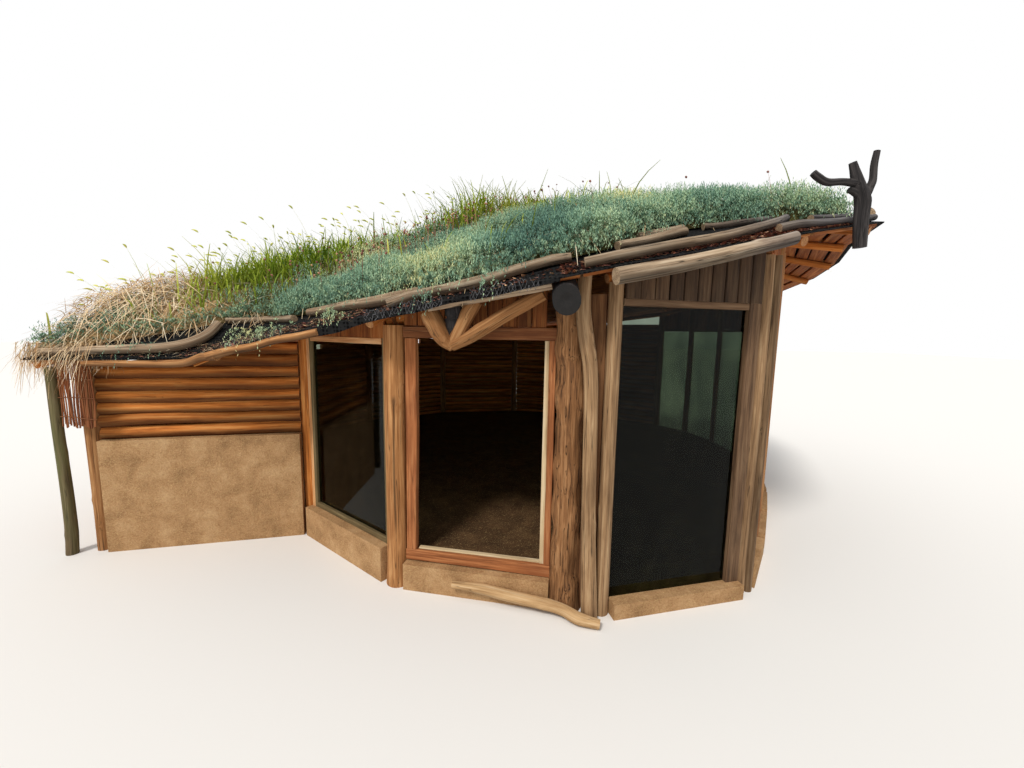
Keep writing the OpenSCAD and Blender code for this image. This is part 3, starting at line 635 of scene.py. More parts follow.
def walls():
    # the wing poles are darker below by a painted shade, under and between the stacked poles
    poles_for("wing_poles", [W_ORANGE, END_ORANGE], "pole_orange", 11, (0.92, 0.92), lump=0.13, bend=0.011,
              knots=6, sides=22, swell=1.1, stain=0.85, spread=0.25)
    boards_for("window_left_boards", [W_BOARD, END_ORANGE], "board_orange", 21, upright=True, step=0.03)
    # the low tones are a painted shade on the door boards under the eave
    boards_for("door_boards", [W_BOARD, END_ORANGE], "board_orange", 22, upright=True, tone=(0.75, 0.55),
               step=0.03, live=0.003)
    # the low tones are a painted shade of the eave on these boards
    boards_for("window_tall_boards", [W_BROWN, END_GREY], "board_orange", 23, upright=True, crown=0.014,
               live=0.004, step=0.03, tone=(0.5, 0.4))
    boards_for("side_boards", [W_BOARD, END_ORANGE], "board_orange", 24, upright=True, crown=0.01, live=0.004)
    boards_for("door_jambs", [W_FRAME, END_ORANGE], "frame_red", 25, upright=True, live=0.012, warp=0.004,
               step=0.04)
    # the head's lower tone is a painted shade under the eave; the sill's full tone is painted light on its
    # sunlit top
    boards_for("door_head", [W_FRAME, END_ORANGE], "frame_red", 26, live=0.006, tone=(0.7, 0.7))
    boards_for("door_sill", [W_FRAME, END_ORANGE], "frame_red", 27, live=0.007, tone=(1.0, 1.0))
    boards_for("door_bead", [W_BEAD_LIT, END_ORANGE], "bead_pale", 28, chamfer=0.003)
    boards_for("corner_boards", [W_DARKBOARD, END_ORANGE], "board_dark", 29, upright=True, live=0.006)
    boards_for("window_tall_frame", [W_BROWN, END_GREY], "frame_red", 30, live=0.005, tone=(0.75, 0.75))
    boards_for("side_rails", [W_FRAME, END_ORANGE], "frame_red", 31, live=0.002)
    left_window_frame()
    back_walls()
    screen()


def left_window_frame():
    """The left window's fixed frame: two boards at the left, a thin one at the right and two rails."""
    rng = rng_for(33)
    co, _ = node_mesh("window_left_frame")
    local = (co - BAY_LEFT.origin) @ BAY_LEFT.axes.T / MM
    xs = np.unique(np.round(local[:, 0]))
    zs = np.unique(np.round(local[:, 2]))
    y = (local[:, 1].min(), local[:, 1].max())
    split = xs[0] + 0.52 * (xs[1] - xs[0])
    low, top = (zs[0], zs[1]), (zs[-2], zs[-1])
    full = (zs[0], zs[-1])
    cut = BAY_LEFT.board
    pale = [cut((xs[0], split), (y[0] - 6, y[1]), full, rng, live=0.004, tint=1.0)]
    grey = [cut((split, xs[1]), y, full, rng, tint=0.9), cut((xs[-2], xs[-1]), y, full, rng, tint=0.8),
            cut((xs[1], xs[-2]), y, low, rng, tint=0.8)]
    head = cut((xs[1], xs[-2]), (y[0] - 8, y[1]), top, rng, live=0.004, tint=1.0)
    build("window_left_stile", pale, [W_HEAD, END_ORANGE], ("window_left_frame",))
    build("window_left_head", [head], [W_HEAD, END_ORANGE])
    build("window_left_frame_timber", grey, [W_STILE, END_GREY])


def back_walls():
    """Stacked poles of the buried walls, one run a bay, cut under the sloping plate."""
    rng = rng_for(34)
    pitch, radius, swell = 0.096, 0.05, 1.14
    chunks = []
    for part in solids("back_poles"):
        mid = part.mean(0)
        e = np.append(np.linalg.svd(part[:, :2] - mid[:2], full_matrices=False)[2][0], 0)
        s = (part - mid) @ e
        mid = mid + e * (s.max() + s.min()) / 2
        reach = (s.max() - s.min()) / 2
        grid = np.linspace(-reach, reach, 60)
        tops = np.interp(grid, [-reach, reach], [part[s < s.min() + 0.01][:, 2].max(),
                                                 part[s > s.max() - 0.01][:, 2].max()])
        for z in np.arange(part[:, 2].min() + radius, tops.max() - radius, pitch):
            free = grid[tops - radius > z - 0.01]
            if len(free) > 6:
                line = [np.array([*(mid + e * q)[:2], z]) for q in (free[0], free.mean(), free[-1])]
                # each pole is darker below by a painted shade
                chunks.append(pole(line, [radius * swell] * 3, rng, lump=0.06, sides=8, step=0.22, bend=0.003,
                                   knots=1, tint=rng.uniform(0.6, 1), stain=0.6))
    build("back_walls", chunks, [W_ORANGE, END_ORANGE], ("back_poles",))


def screen():
    """Thin upright sticks with two crossing ones, at the left of the wing."""
    rng = rng_for(35)
    co, _ = node_mesh("stick_screen")
    low, high = co.min(0), co.max(0)
    y = (low[1] + high[1]) / 2
    rails = np.unique(np.round(co[co[:, 0] < low[0] + 0.002][:, 2], 2))
    chunks = []
    for x in np.arange(low[0] + 0.012, high[0] - 0.01, 0.0135):
        top = np.interp(x, [low[0], high[0]], [co[co[:, 0] < low[0] + 0.05][:, 2].max(), high[2]])
        foot = low[2] + rng.uniform(-0.01, 0.03)
        pts = [[x + rng.uniform(-0.006, 0.006), y + rng.uniform(-0.008, 0.008), z] for z in
               (foot, foot + 0.2, foot + 0.4, top)]
        chunks.append(pole(pts, [0.0062, 0.006, 0.0055, 0.005], rng, sides=6, step=0.08, knots=0,
                           tint=rng.uniform(0.5, 1)))
    for z in (rails.min(), rails.mean(), rails.max()):
        pts = [[x, y - 0.01, z + rng.uniform(-0.012, 0.012)] for x in np.linspace(low[0], high[0], 5)]
        chunks.append(pole(pts, [0.004] * 5, rng, sides=6, knots=0, tint=0.6))
    build("screen_sticks", chunks, [W_STICK, END_ORANGE], ("stick_screen",))


def roof_timber():
    poles_for("wall_plate", [W_ORANGE, END_ORANGE], "grey_pole", 41, (0.7, 0.7), lump=0.06, bend=0.005,
              knots=3)
    poles_for("rafters", [W_ORANGE, END_ORANGE], "pole_orange", 42, (0.8, 0.8), bend=0.004,
              knots=4, step=0.09)
    poles_for("main_log", [W_BEAM, END_DARK], "beam_dark", 43, (0.6, 0.6), lump=0.06, knots=3, sides=28,
              cap_dent=0.012)
    # tones fall from left to right: the left poles are lighter as painted light of the sun on them; all are
    # darker below by a painted shade
    bent_poles_for("eave_poles_front", [W_GREY, END_GREY], "grey_pole", 44, (1.0, 0.5), lump=0.13, bend=0.01,
                   knots=8, sides=18, step=0.04, stain=0.6)
    # this pole is darker below by a painted shade
    bent_poles_for("eave_pole_low", [W_GREY, END_GREY], "grey_pole", 46, (0.8, 0.8), lump=0.13, bend=0.006,
                   knots=8, sides=24, step=0.03, stain=0.6)
    poles_for("eave_poles_rear", [W_GREY, END_GREY], "grey_pole", 45, (0.9, 0.6), lump=0.09, bend=0.012,
              knots=3)
    boards_for("eave_board", [W_GREY, END_GREY], "grey_pole", 32, tilted=True, live=0.004, warp=0.004,
               tone=(1.0, 1.0))
    roof_boards()


def roof_boards():
    """Live-edge boards across each roof facet: narrow ones over the eaves, wide ones inside."""
    rng = rng_for(47)
    eave_reach, narrow, wide, inner_gap, clear = 0.8, 0.15, 0.6, 0.3, 0.001
    chunks = []
    for part in solids("roof_deck"):
        order = np.lexsort((part[:, 2], np.round(part[:, 0], 3)))
        top = part[order][1::2]
        inner, a, b = sorted(top, key=lambda p: math.hypot(p[0], p[1]))
        n = unit(np.cross(b - a, inner - a))
        n = n if n[2] > 0 else -n
        e = unit(b - a)
        up = unit(np.cross(n, e))
        up = up if up @ (inner - a) > 0 else -up
        span, rise = np.linalg.norm(b - a), (inner - a) @ up
        foot = (inner - a) @ e
        thick = part[:, 2].ptp() - top[:, 2].ptp()
        d = 0.0
        while d < rise - inner_gap:
            seen = d < eave_reach
            width = narrow * rng.uniform(0.8, 1.25) if seen else wide
            q = (d + width / 2) / rise
            lo, hi = q * foot, span + q * (foot - span)
            mid = a + up * (d + width / 2) + e * (lo + hi) / 2 - n * (thick / 2 + clear)
            half = [(hi - lo) / 2 - 0.004, width / 2 - 0.003, thick * 0.45]
            chunks.append(board(mid, [e, up, n], half, rng, live=0.012 if seen else 0.0,
                                step=0.14 if seen else 2.0, tint=rng.uniform(0.75, 1)))
            d += width
    build("roof_boards", chunks, [W_BOARD, END_ORANGE], ("roof_deck",))


def branches():
    """The natural branches: bent post, forked bracket, fork at the tip and the log on the ground."""
    soffit = tree_of("roof_deck")

    def under(x, y, drop):
        """Bay coordinates of a point by drop below the roof boards."""
        return [x, y, soffit.ray_cast(Vector(BAY_DOOR.at(x, y, 0)), UP)[0][2] / MM - drop]

    def limbs(name, node, at, forms, mats, slot, seed, **options):
        rng = rng_for(seed)
        chunks = [pole([at(*p) for p in pts], [r * MM for r in radii], rng, **options)
                  for pts, radii in forms]
        build(name, chunks, mats, (node,) if node else ())

    top = box_of("post_bent")[1][2] / MM
    limbs("post_bent_timber", "post_bent", BAY_CORNER.at,
          [([[222, -104, 0], [186, -108, 800], [172, -112, 1500], [158, -118, 1850], [116, -130, 2100],
             [94, -134, 2300], [98, -132, top - 20]], [60, 50, 50, 50, 52, 48, 46])],
          [W_POST_GREY, END_GREY], "post_pale", 51, sides=26, step=0.03, lump=0.08, knots=6, tint=1.0)

    y, tip = -240, box_of("door_bracket")[0][2] / MM + 44
    limbs("door_bracket_timber", "door_bracket", BAY_DOOR.at,
          [([[1196, y, tip + 375], [930, y, tip + 228], [700, y, tip + 84], [556, y, tip + 8]],
            [44, 47, 46, 38]),
           ([[566, y, tip], [510, y, tip + 52], [462, y, tip + 118], under(392, y, 52)], [36, 56, 66, 60]),
           ([[556, y, tip + 10], [590, y, tip + 80], [632, y, tip + 163], under(722, y, 40)],
            [36, 44, 46, 46])],
          [W_POST, END_ORANGE], "post_pale", 52, sides=24, step=0.025, lump=0.12, knots=5, oval=0.16,
          tint=0.75)
    # a dark limb set back between the bracket's legs: painted shade in the fork
    limbs("door_bracket_painted_shade", None, BAY_DOOR.at,
          [([[566, y + 22, tip + 50], [578, y + 24, tip + 130], [572, y + 24, tip + 210]], [30, 52, 60]),
           ([[572, y + 24, tip + 200], under(560, y + 24, 60)], [60, 64])],
          [W_BEAM, END_DARK], "post_pale", 55, sides=20, step=0.025, lump=0.2, knots=5, oval=0.2, tint=0.5)

    low, high = box_of("tip_fork")
    base = np.array([0, (low[1] + high[1]) / 2 / MM, low[2] / MM + 36])
    limbs("tip_fork_timber", "tip_fork", lambda x, h: (base + [x, 0, h]) * MM,
          [([(1965, 0), (1950, 180), (1943, 330), (1902, 440), (1862, 540), (1845, 585)],
            [38, 44, 50, 42, 30, 25]),
           ([(1943, 325), (1990, 430), (2003, 480), (2000, 570), (2010, 665)], [36, 27, 24, 22, 19]),
           ([(1905, 440), (1790, 452), (1680, 448), (1612, 480), (1572, 510)], [30, 27, 27, 26, 23]),
           ([(1925, 360), (1870, 390), (1842, 398)], [26, 22, 20])],
          [W_BEAM, END_DARK], "beam_dark", 53, sides=20, step=0.025, lump=0.13, knots=7, tint=0.75)

    limbs("threshold_log_timber", "threshold_log", BAY_DOOR.at,
          [([[525, -146, 130], [760, -140, 122], [975, -150, 105], [1345, -166, 75], [1525, -226, 52],
             [1665, -240, 40]], [30, 40, 42, 38, 38, 30])],
          [W_ROOT, END_GREY], "bead_pale", 54, sides=20, step=0.03, lump=0.14, knots=6, tint=0.95)


def kept_nodes():
    """Keeps the CAD shape of these nodes, with a material."""
    for mat, nodes in ((CLAY, ("plinth_front", "plinth_wing", "plinth_rear")), (EARTH, ("earth_floor",)),
                       (GLASS, ("window_left_glass", "window_tall_glass", "side_glass")),
                       (SHEET, ("roof_membrane",)), (W_INSIDE, ("crown_ring",))):
        for node in nodes:
            NODES[node].data.materials.clear()
            NODES[node].data.materials.append(mat)


# turf and eave

class Turf:
    """The turf's top surface: height at a plan point, and the radius of its edge by plan angle."""

    def __init__(self):
        self.cad = tree_of("roof_turf")
        self.top = box_of("roof_turf")[1][2] + 1
        self.angles = np.linspace(0, TURN, 721)
        edge = [self.reach(a) for a in self.angles[:-1]]
        self.edge = np.array(edge + edge[:1])

    def height(self, x, y):
        hit = self.cad.ray_cast(Vector((x, y, self.top)), DOWN)[0]
        return hit[2] if hit else None

    def reach(self, a):
        lo, hi = 0.5, 7.0
        for _ in range(22):
            m = (lo + hi) / 2
            if self.height(m * math.cos(a), m * math.sin(a)) is None:
                hi = m
            else:
                lo = m
        return lo

    def edge_at(self, a):
        return np.interp(np.asarray(a) % TURN, self.angles, self.edge)

    def scatter(self, density, rng, share, inset=0.02):
        """Points at up to density a square metre, kept by share(plan degrees, edge distance, radius)."""
        reach = self.edge.max()
        x, y = rng.uniform(-reach, reach, (2, int(density * 4 * reach ** 2)))
        a, r = np.arctan2(y, x), np.hypot(x, y)
        gap = self.edge_at(a) - r
        keep = gap > inset
        keep[keep] = rng.uniform(0, 1, keep.sum()) < share(np.degrees(a[keep]) % 360, gap[keep], r[keep])
        pts = [(px, py, self.height(px, py)) for px, py in zip(x[keep], y[keep])]
        pts = np.array([p for p in pts if p[2] is not None])
        return pts, self.edge_at(np.arctan2(pts[:, 1], pts[:, 0])) - np.hypot(pts[:, 0], pts[:, 1])

    def lay(self, lying, base):
        """Bends strands, given as one chunk, so that each follows the slope at its base."""
        step = 0.06

        def rise(dx, dy):
            ahead = [self.height(x + dx, y + dy) for x, y, _ in base]
            here = [self.height(x, y) for x, y, _ in base]
            return np.array([0.0 if a is None or h is None else (a - h) / step for a, h in zip(ahead, here)])
        v = lying["v"].reshape(len(base), -1, 3)
        off = v[:, :, :2] - base[:, None, :2]
        v[:, :, 2] += off[:, :, 0] * rise(step, 0)[:, None] + off[:, :, 1] * rise(0, step)[:, None]

    def rim(self, count, rng, span):
        """Points on the upright side of the turf between two plan angles."""
        inside, deep = 0.03, 0.11
        pts = []
        for a in np.radians(rng.uniform(*span, count)):
            d, cos, sin = self.edge_at(a), math.cos(a), math.sin(a)
            pts.append((d * cos, d * sin, self.height(cos * (d - inside), sin * (d - inside))))
        pts = np.array(pts)
        pts[:, 2] -= rng.uniform(0, deep, count)
        return pts


class Eave:
    """The membrane's outer edge by plan angle, and points on top of the membrane."""

    def __init__(self):
        self.cad = tree_of("roof_membrane")
        co, _ = node_mesh("roof_membrane")
        ring = co[np.hypot(co[:, 0], co[:, 1]) > 1]
        a = np.arctan2(ring[:, 1], ring[:, 0]) % TURN
        self.keys = list(np.unique(np.round(a, 4)))
        self.corners = []
        for key in self.keys:
            same = ring[np.abs(a - key) < 2e-3]
            self.corners.append((same[0][:2], same[:, 2].min()))

    def hang(self, angle, out, rise):
        """Point out from the lower edge at a plan angle in degrees, and rise above it."""
        a = math.radians(angle) % TURN
        k = int(np.searchsorted(self.keys, a)) % len(self.keys)
        (p, zp), (q, zq) = self.corners[k - 1], self.corners[k]
        t = np.linalg.solve(np.stack([[math.cos(a), math.sin(a)], p - q], 1), p)[1]
        edge = np.array([*(p + (q - p) * t), zp + (zq - zp) * t])
        return edge + unit(edge * [1, 1, 0]) * out + np.array([0, 0, rise])

    def on_sheet(self, count, rng, span, inset):
        """Random points on the membrane's top between two plan angles and two distances from its edge."""
        pts = []
        for a, d in zip(rng.uniform(*span, count), rng.uniform(*inset, count)):
            p = self.hang(a, -d, 1.0)
            hit = self.cad.ray_cast(Vector(p), DOWN)[0]
            if hit:
                pts.append([p[0], p[1], hit[2] + 0.004])
        return np.array(pts)


def turf_mesh(turf):
    """Soil and moss surface with a soft edge, standing for the turf solid."""
    cols, rows, lump, inset, sink, skirt_deep = 300, 44, 0.02, 0.012, 0.012, 0.07
    ang = np.linspace(0, TURN, cols + 1)[:-1]
    edge = turf.edge_at(ang) - inset
    fr = 1 - (np.linspace(0, 1, rows) ** 1.6)
    lumps = soft_noise(rows, cols, 14, 40, rng_for(60))
    verts = np.zeros((rows, cols, 3))
    for j in range(cols):
        z = None
        for i in range(rows):
            x, y = edge[j] * fr[i] * math.cos(ang[j]), edge[j] * fr[i] * math.sin(ang[j])
            z = turf.height(x, y) or z or turf.height(x * 0.985, y * 0.985)
            verts[i, j] = (x, y, z)
    verts[:, :, 2] += lumps * lump * np.minimum(1, (1 - fr)[:, None] * 12) - sink
    flat = np.concatenate([verts[:1] - [0, 0, skirt_deep], verts]).reshape(-1, 3)
    build("turf_soil", [surface_of(flat, ring_quads(rows + 1, cols), True)], [SOIL], ("roof_turf",))


def surface_of(verts, quads, smooth=False):
    """A chunk whose texture follows the place of its points."""
    return chunk(verts, verts, 0.5, [(quads, 0, smooth)])


def membrane_edge(eave):
    """The sheet's loose edge hanging under the front poles, with wire netting before it."""
    rng = rng_for(61)
    thick, deep, gauge = 0.004, (0.012, 0.1), 0.0013
    angles = np.arange(222.6, 266.0, 0.25)
    n = len(angles)
    depth = 0.05 + 0.03 * soft_noise(n, 2, 14, 0, rng)[:, 0]
    depth = np.clip(depth * np.interp(angles, [222, 226, 250, 254, 266], [0.3, 1.2, 1.0, 0.45, 0.3]), *deep)
    wave = 0.008 * soft_noise(n, 2, 20, 0, rng)[:, 0]
    front = np.array([[eave.hang(a, 0.006 + w * k, -d * drop) for a, d, w in zip(angles, depth, wave)]
                      for k, drop in ((0, 0.0), (1, 0.5), (2, 1.0))])
    back = front - np.array([unit(p * [1, 1, 0]) * thick for p in front[0]])
    verts = np.concatenate([front, back[::-1]]).transpose(1, 0, 2).reshape(-1, 3)
    build("membrane_edge", [surface_of(verts, ring_quads(n, 6))], [SHEET])

    lines = []
    drops = (0.05, 0.02, -0.005, -0.03)
    for span in ((224.5, 233.0), (244.0, 253.5), (256.5, 264.0)):
        node = {(k, j): eave.hang(a + (0.21 if j % 2 else 0) + rng.uniform(-0.08, 0.08),
                                  0.02 + rng.uniform(0, 0.012), drop + rng.uniform(-0.012, 0.012))
                for k, a in enumerate(np.arange(*span, 0.42)) for j, drop in enumerate(drops)}
        for (k, j), p in node.items():
            for other in ((k, j + 1), (k + 1 if j % 2 else k - 1, j + 1)):
                if other in node and rng.uniform() < 0.75:
                    lines.append((p, node[other]))
    build("netting", [wires(lines, gauge)], [WIRE])


def eave_laths(eave):
    """Two thin barked poles that carry the sheet's edge over the wing."""
    rng = rng_for(62)
    chunks = []
    for a0, a1, r0, r1, rise in ((212.5, 223.5, 0.024, 0.034, -0.03), (222.5, 237.5, 0.036, 0.028, -0.022)):
        line = [eave.hang(a, 0.008 + rng.uniform(-0.008, 0.008), rise + rng.uniform(-0.012, 0.012))
                for a in np.linspace(a0, a1, 6)]
        # the laths are darker below by a painted shade
        chunks.append(pole(line, np.linspace(r0, r1, 6), rng, lump=0.12, sides=14, step=0.03, knots=5,
                           tint=0.95, stain=0.5))
    build("eave_laths", chunks, [W_POST, END_ORANGE])


def wires(lines, radius):
    """Three-sided wires between point pairs."""
    a, b = np.array(lines).transpose(1, 0, 2)
    d = (b - a) / np.linalg.norm(b - a, axis=1)[:, None]
    side = np.cross(d, [0.3, 0.2, 0.93])
    side /= np.linalg.norm(side, axis=1)[:, None]
    up = np.cross(d, side)
    rim = [side * math.cos(t) + up * math.sin(t) for t in (0.0, 2.09, 4.19)]
    verts = np.stack([end + r * radius for end in (a, b) for r in rim], 1).reshape(-1, 3)
    sides = [[0, 1, 4, 3], [1, 2, 5, 4], [2, 0, 3, 5]]
    return surface_of(verts, repeat_faces(sides, len(lines), 6))


# plants

ROUND = (0, 6.28)  # any heading, in radians
STALK_WIDE = 0.006


def repeat_faces(faces, count, step):
    """The faces of one thing, for count things of step points each."""
    return (np.arange(count)[:, None, None] * step + np.asarray(faces)[None]).reshape(-1, 4)


def leaf_grain(shape, t):
    """Grain of plant points: only its height, from 0 at the foot to 1 at the tip."""
    grain = np.zeros(shape)
    grain[..., 2] = t[None, :, None]
    return grain.reshape(-1, 3)


def ring_axes(turn):
    """Unit vectors at plan angles, and the ones across them."""
    cos, sin, zero = np.cos(turn), np.sin(turn), np.zeros_like(turn)
    return np.stack([cos, sin, zero], -1), np.stack([-sin, cos, zero], -1)


def patches(x, y, scale, seed):
    """Soft patches over the plan, about -1 to 1."""
    rng = rng_for(seed)
    total = 0
    for _ in range(7):
        a, phase, k = rng.uniform(0, math.pi), rng.uniform(0, 6.3), scale * rng.uniform(0.6, 1.6)
        total = total + np.cos((x * math.cos(a) + y * math.sin(a)) * k + phase)
    return total / 2.6


def blades(base, heading, length, width, rise, droop, reach, tint):
    """Grass blades: tapering strips that rise and bend over along their heading."""
    rows = 5
    t = np.linspace(0, 1, rows)
    out, side = ring_axes(heading)
    level = length[:, None] * reach[:, None] * (0.35 * t + 0.65 * t ** 2)
    height = length[:, None] * (rise[:, None] * t - droop[:, None] * t ** 2)
    half = width[:, None] / 2 * np.sqrt(1 - 0.95 * t)
    mid = base[:, None] + out[:, None] * level[:, :, None] + height[:, :, None] * np.array([0, 0, 1])
    pair = np.stack([mid - side[:, None] * half[:, :, None], mid + side[:, None] * half[:, :, None]], 2)
    k = np.arange(rows - 1) * 2
    quads = repeat_faces(np.stack([k, k + 1, k + 3, k + 2], 1), len(base), rows * 2)
    grain, tints = leaf_grain(pair.shape, t), np.repeat(tint, rows * 2)
    strips = chunk(pair.reshape(-1, 3), grain, tints, [(quads, 0, True)])
    return strips, (mid[:, -1], mid[:, -1] - mid[:, -2])


def strands(rng, base, *forms):
    """Blades whose heading, length, width, rise, droop, reach and tint are given, or drawn from a range."""
    return blades(base, *[f if isinstance(f, np.ndarray) else rng.uniform(*f, len(base)) for f in forms])


def sprigs(base, lean, length, size, tint, rng, sag):
    """Succulent stems: leaves like short needles set round a bent stem; sag lets its tip hang."""
    n, leaves, turn_step = len(base), 10, 2.4
    t = np.linspace(0.15, 1.0, leaves) ** 0.8
    up = np.array([0, 0, 1.0])
    stem = base[:, None] + (lean[:, None] * (t ** 0.8)[None, :, None]
                            + up * (t - sag[:, None] * t ** 2)[:, :, None]) * length[:, None, None]
    turn = np.arange(leaves)[None] * turn_step + rng.uniform(*ROUND, n)[:, None]
    turn = turn + rng.uniform(-0.3, 0.3, (n, leaves))
    out, side = ring_axes(turn)
    long = size[:, None, None] * (1.15 - 0.45 * t)[None, :, None]
    lift = (0.5 + 0.9 * t ** 3)[None, :, None]
    tip = stem + (out * (1.1 - 0.6 * t ** 3)[None, :, None] + up * lift) * long
    belly = stem + (out * 0.5 + up * (lift * 0.42)) * long
    root = stem - up * long * 0.15
    quad = np.stack([root, belly - side * long * 0.2, tip, belly + side * long * 0.2], 2)
    return leaves_of(quad, leaf_grain(quad.shape, t), np.repeat(tint, leaves * 4))


def leaves_of(quad, grain, tint):
    """A chunk of single four-sided leaves."""
    return chunk(quad.reshape(-1, 3), grain, tint, [(np.arange(quad.size // 3).reshape(-1, 4), 0, False)])


def tufts(tips, length, radius, tint):
    """Nodding seed heads at the ends of stalks."""
    at, along = tips
    fat, sides = np.array([0.35, 1.0, 1.0, 0.8, 0.15]), 5
    rows = len(fat)
    d = along / np.linalg.norm(along, axis=1)[:, None]
    side = np.cross(d, [0, 0, 1.0])
    side /= np.linalg.norm(side, axis=1)[:, None]
    up = np.cross(side, d)
    s = np.linspace(0, 1, rows)
    nod = np.array([0, 0, 0.45])
    mid = at[:, None] + (d[:, None] * s[None, :, None] - nod * (s ** 2)[None, :, None]) * length
    turn = np.arange(sides) / sides * TURN
    rim = side[:, None] * np.cos(turn)[None, :, None] + up[:, None] * np.sin(turn)[None, :, None]
    verts = (mid[:, :, None] + rim[:, None] * (fat * radius)[None, :, None, None]).reshape(-1, 3)
    faces = repeat_faces(ring_quads(rows, sides), len(at), rows * sides)
    return chunk(verts, np.ones(verts.shape), np.repeat(tint, rows * sides), [(faces, 0, True)])


def flakes(base, size, tint, rng):
    """Dry leaves and bark chips lying about."""
    n = len(base)
    a = rng.uniform(*ROUND, n)
    u = np.stack([np.cos(a), np.sin(a), rng.uniform(-0.4, 0.4, n)], 1) * size[:, None]
    w = np.stack([-np.sin(a), np.cos(a), rng.uniform(-0.4, 0.4, n)], 1) * size[:, None] * 0.45
    quad = np.stack([base - u, base - w, base + u, base + w], 1) + np.array([0, 0, 0.004])
    return leaves_of(quad, np.ones((n * 4, 3)), np.repeat(tint, 4))


FRONT = (211.3, 348.0)  # plan degrees between which the succulents grow thickest
TOP_LIMIT = 4.04  # greatest height of a plant, in metres


def plan_point(deg, r):
    return r * np.cos(np.radians(deg)), r * np.sin(np.radians(deg))


def in_front(deg, r):
    """1 where the succulents grow thickest, falling raggedly to 0 beyond FRONT."""
    inside = np.minimum(r * np.sin(np.radians(deg - FRONT[0])), r * np.sin(np.radians(FRONT[1] - deg)))
    return np.clip(inside / 0.5 + 0.5 + 0.8 * patches(*plan_point(deg, r), 3, 83), 0, 1)


def on_heap(deg, r):
    """1 on the straw heap, falling to 0 round it."""
    x, y = plan_point(deg, r)
    return np.clip((HEAP_OUT - np.hypot(x - HEAP_AT[0], y - HEAP_AT[1])) / 0.25, 0, 1)


def blend(share, inner, outer):
    return share * inner + (1 - share) * outer


def sedum_share(deg, gap, r):
    front = np.select([gap < 0.1, gap < 0.25, gap < 0.8], [1.0, 0.45, 0.24], 0.12)
    return blend(in_front(deg, r), front, np.where(gap < 0.5, 0.03, 0.01))


def grass_share(deg, gap, r):
    left = np.where(deg > 180, 1.15, 0.3) * (1 - 0.96 * on_heap(deg, r))
    left = left * np.where((deg > 207) & (gap < 0.9), 0.3, 1.0)
    return blend(in_front(deg, r), 0.004, np.where((deg > 120) & (deg < 240), left, 0.14))


def outward(points):
    return points[:, :2] / np.linalg.norm(points[:, :2], axis=1)[:, None]


def leaning(points, push, spread, rng):
    """Leans away from the middle of the house by push, with some scatter."""
    away = outward(points) * push + rng.normal(0, spread, (len(points), 2))
    return np.column_stack([away, np.zeros(len(points))])


def capped(points, length, share=1.0):
    """Shortens what would stand over the height limit."""
    return np.minimum(length, np.maximum(0.03, (TOP_LIMIT - points[:, 2]) / share))


def plants(name, chunks, mats):
    """Builds plants, bent softly under the height limit."""
    free = 0.09
    for c in chunks:
        over = np.maximum(0, c["v"][:, 2] - (TOP_LIMIT - free))
        c["v"][:, 2] -= over - free * (1 - np.exp(-over / free))
    build(name, chunks, mats)


def sedum(turf):
    density, lit_at, lit_by = 1950, [214, 240, 262, 285], [0.16, 0.04, -0.02, 0.14]
    for k in range(3):
        rng = rng_for(71 + k)
        p, gap = turf.scatter(density, rng, sedum_share)
        p[:, 2] -= 0.02
        n = len(p)
        length = np.clip(0.13 + 0.04 * patches(*p.T[:2], 9, 74) + rng.uniform(-0.03, 0.03, n), 0.07, 0.22)
        rim = np.clip(1 - gap / 0.14, 0, 1)
        hangs = (gap < 0.08) & (rng.uniform(0, 1, n) < 0.5)
        lean = leaning(p, (rim * 0.9 + 0.6 * hangs)[:, None], 0.15, rng)
        sag = 0.2 * rim + hangs * rng.uniform(0.6, 1.7, n)
        sunny = np.interp(np.degrees(np.arctan2(p[:, 1], p[:, 0])) % 360, lit_at, lit_by)
        tint = np.clip(0.42 + sunny + 0.2 * patches(*p.T[:2], 4, 75) + rng.uniform(-0.24, 0.24, n), 0, 1)
        size = rng.uniform(0.019, 0.027, n)
        plants("sedum_%d" % k, [sprigs(p, lean, capped(p, length, 1.3), size, tint, rng, sag)], [SEDUM])


def rim_growth(turf):
    """Short stems, moss and straw on the turf's upright side."""
    rng = rng_for(82)
    chunks = []
    for span, count in ((FRONT, 2300), ((209.0, 216.0), 260)):
        p = turf.rim(count, rng, span)
        lean = leaning(p, rng.uniform(0.3, 1.0, (count, 1)), 0.3, rng)
        tint = np.clip(0.5 + rng.uniform(-0.3, 0.3, count), 0, 1)
        chunks.append(sprigs(p, lean, rng.uniform(0.05, 0.11, count), rng.uniform(0.018, 0.027, count), tint,
                             rng, rng.uniform(0.1, 1.0, count)))
    plants("sedum_rim", chunks, [SEDUM])
    p = turf.rim(2600, rng, (188.0, 217.0))
    p[:, :2] += outward(p) * rng.uniform(-0.05, 0.03, (len(p), 1))
    heap, _ = strands(rng, p, ROUND, (0.08, 0.24), (0.004, 0.008), (0.0, 0.5), (0.2, 1.0), (0.4, 1.0),
                      (0.1, 1))
    plants("straw_rim", [heap], [STRAW])


TRAILS = ((215.5, 16, 0.5), (227.0, 26, 0.85), (230.2, 20, 0.8), (239.1, 20, 0.8), (251.1, 14, 0.4),
          (258.2, 12, 0.5))  # plan degrees, stems and tint of the succulents that hang over the eave


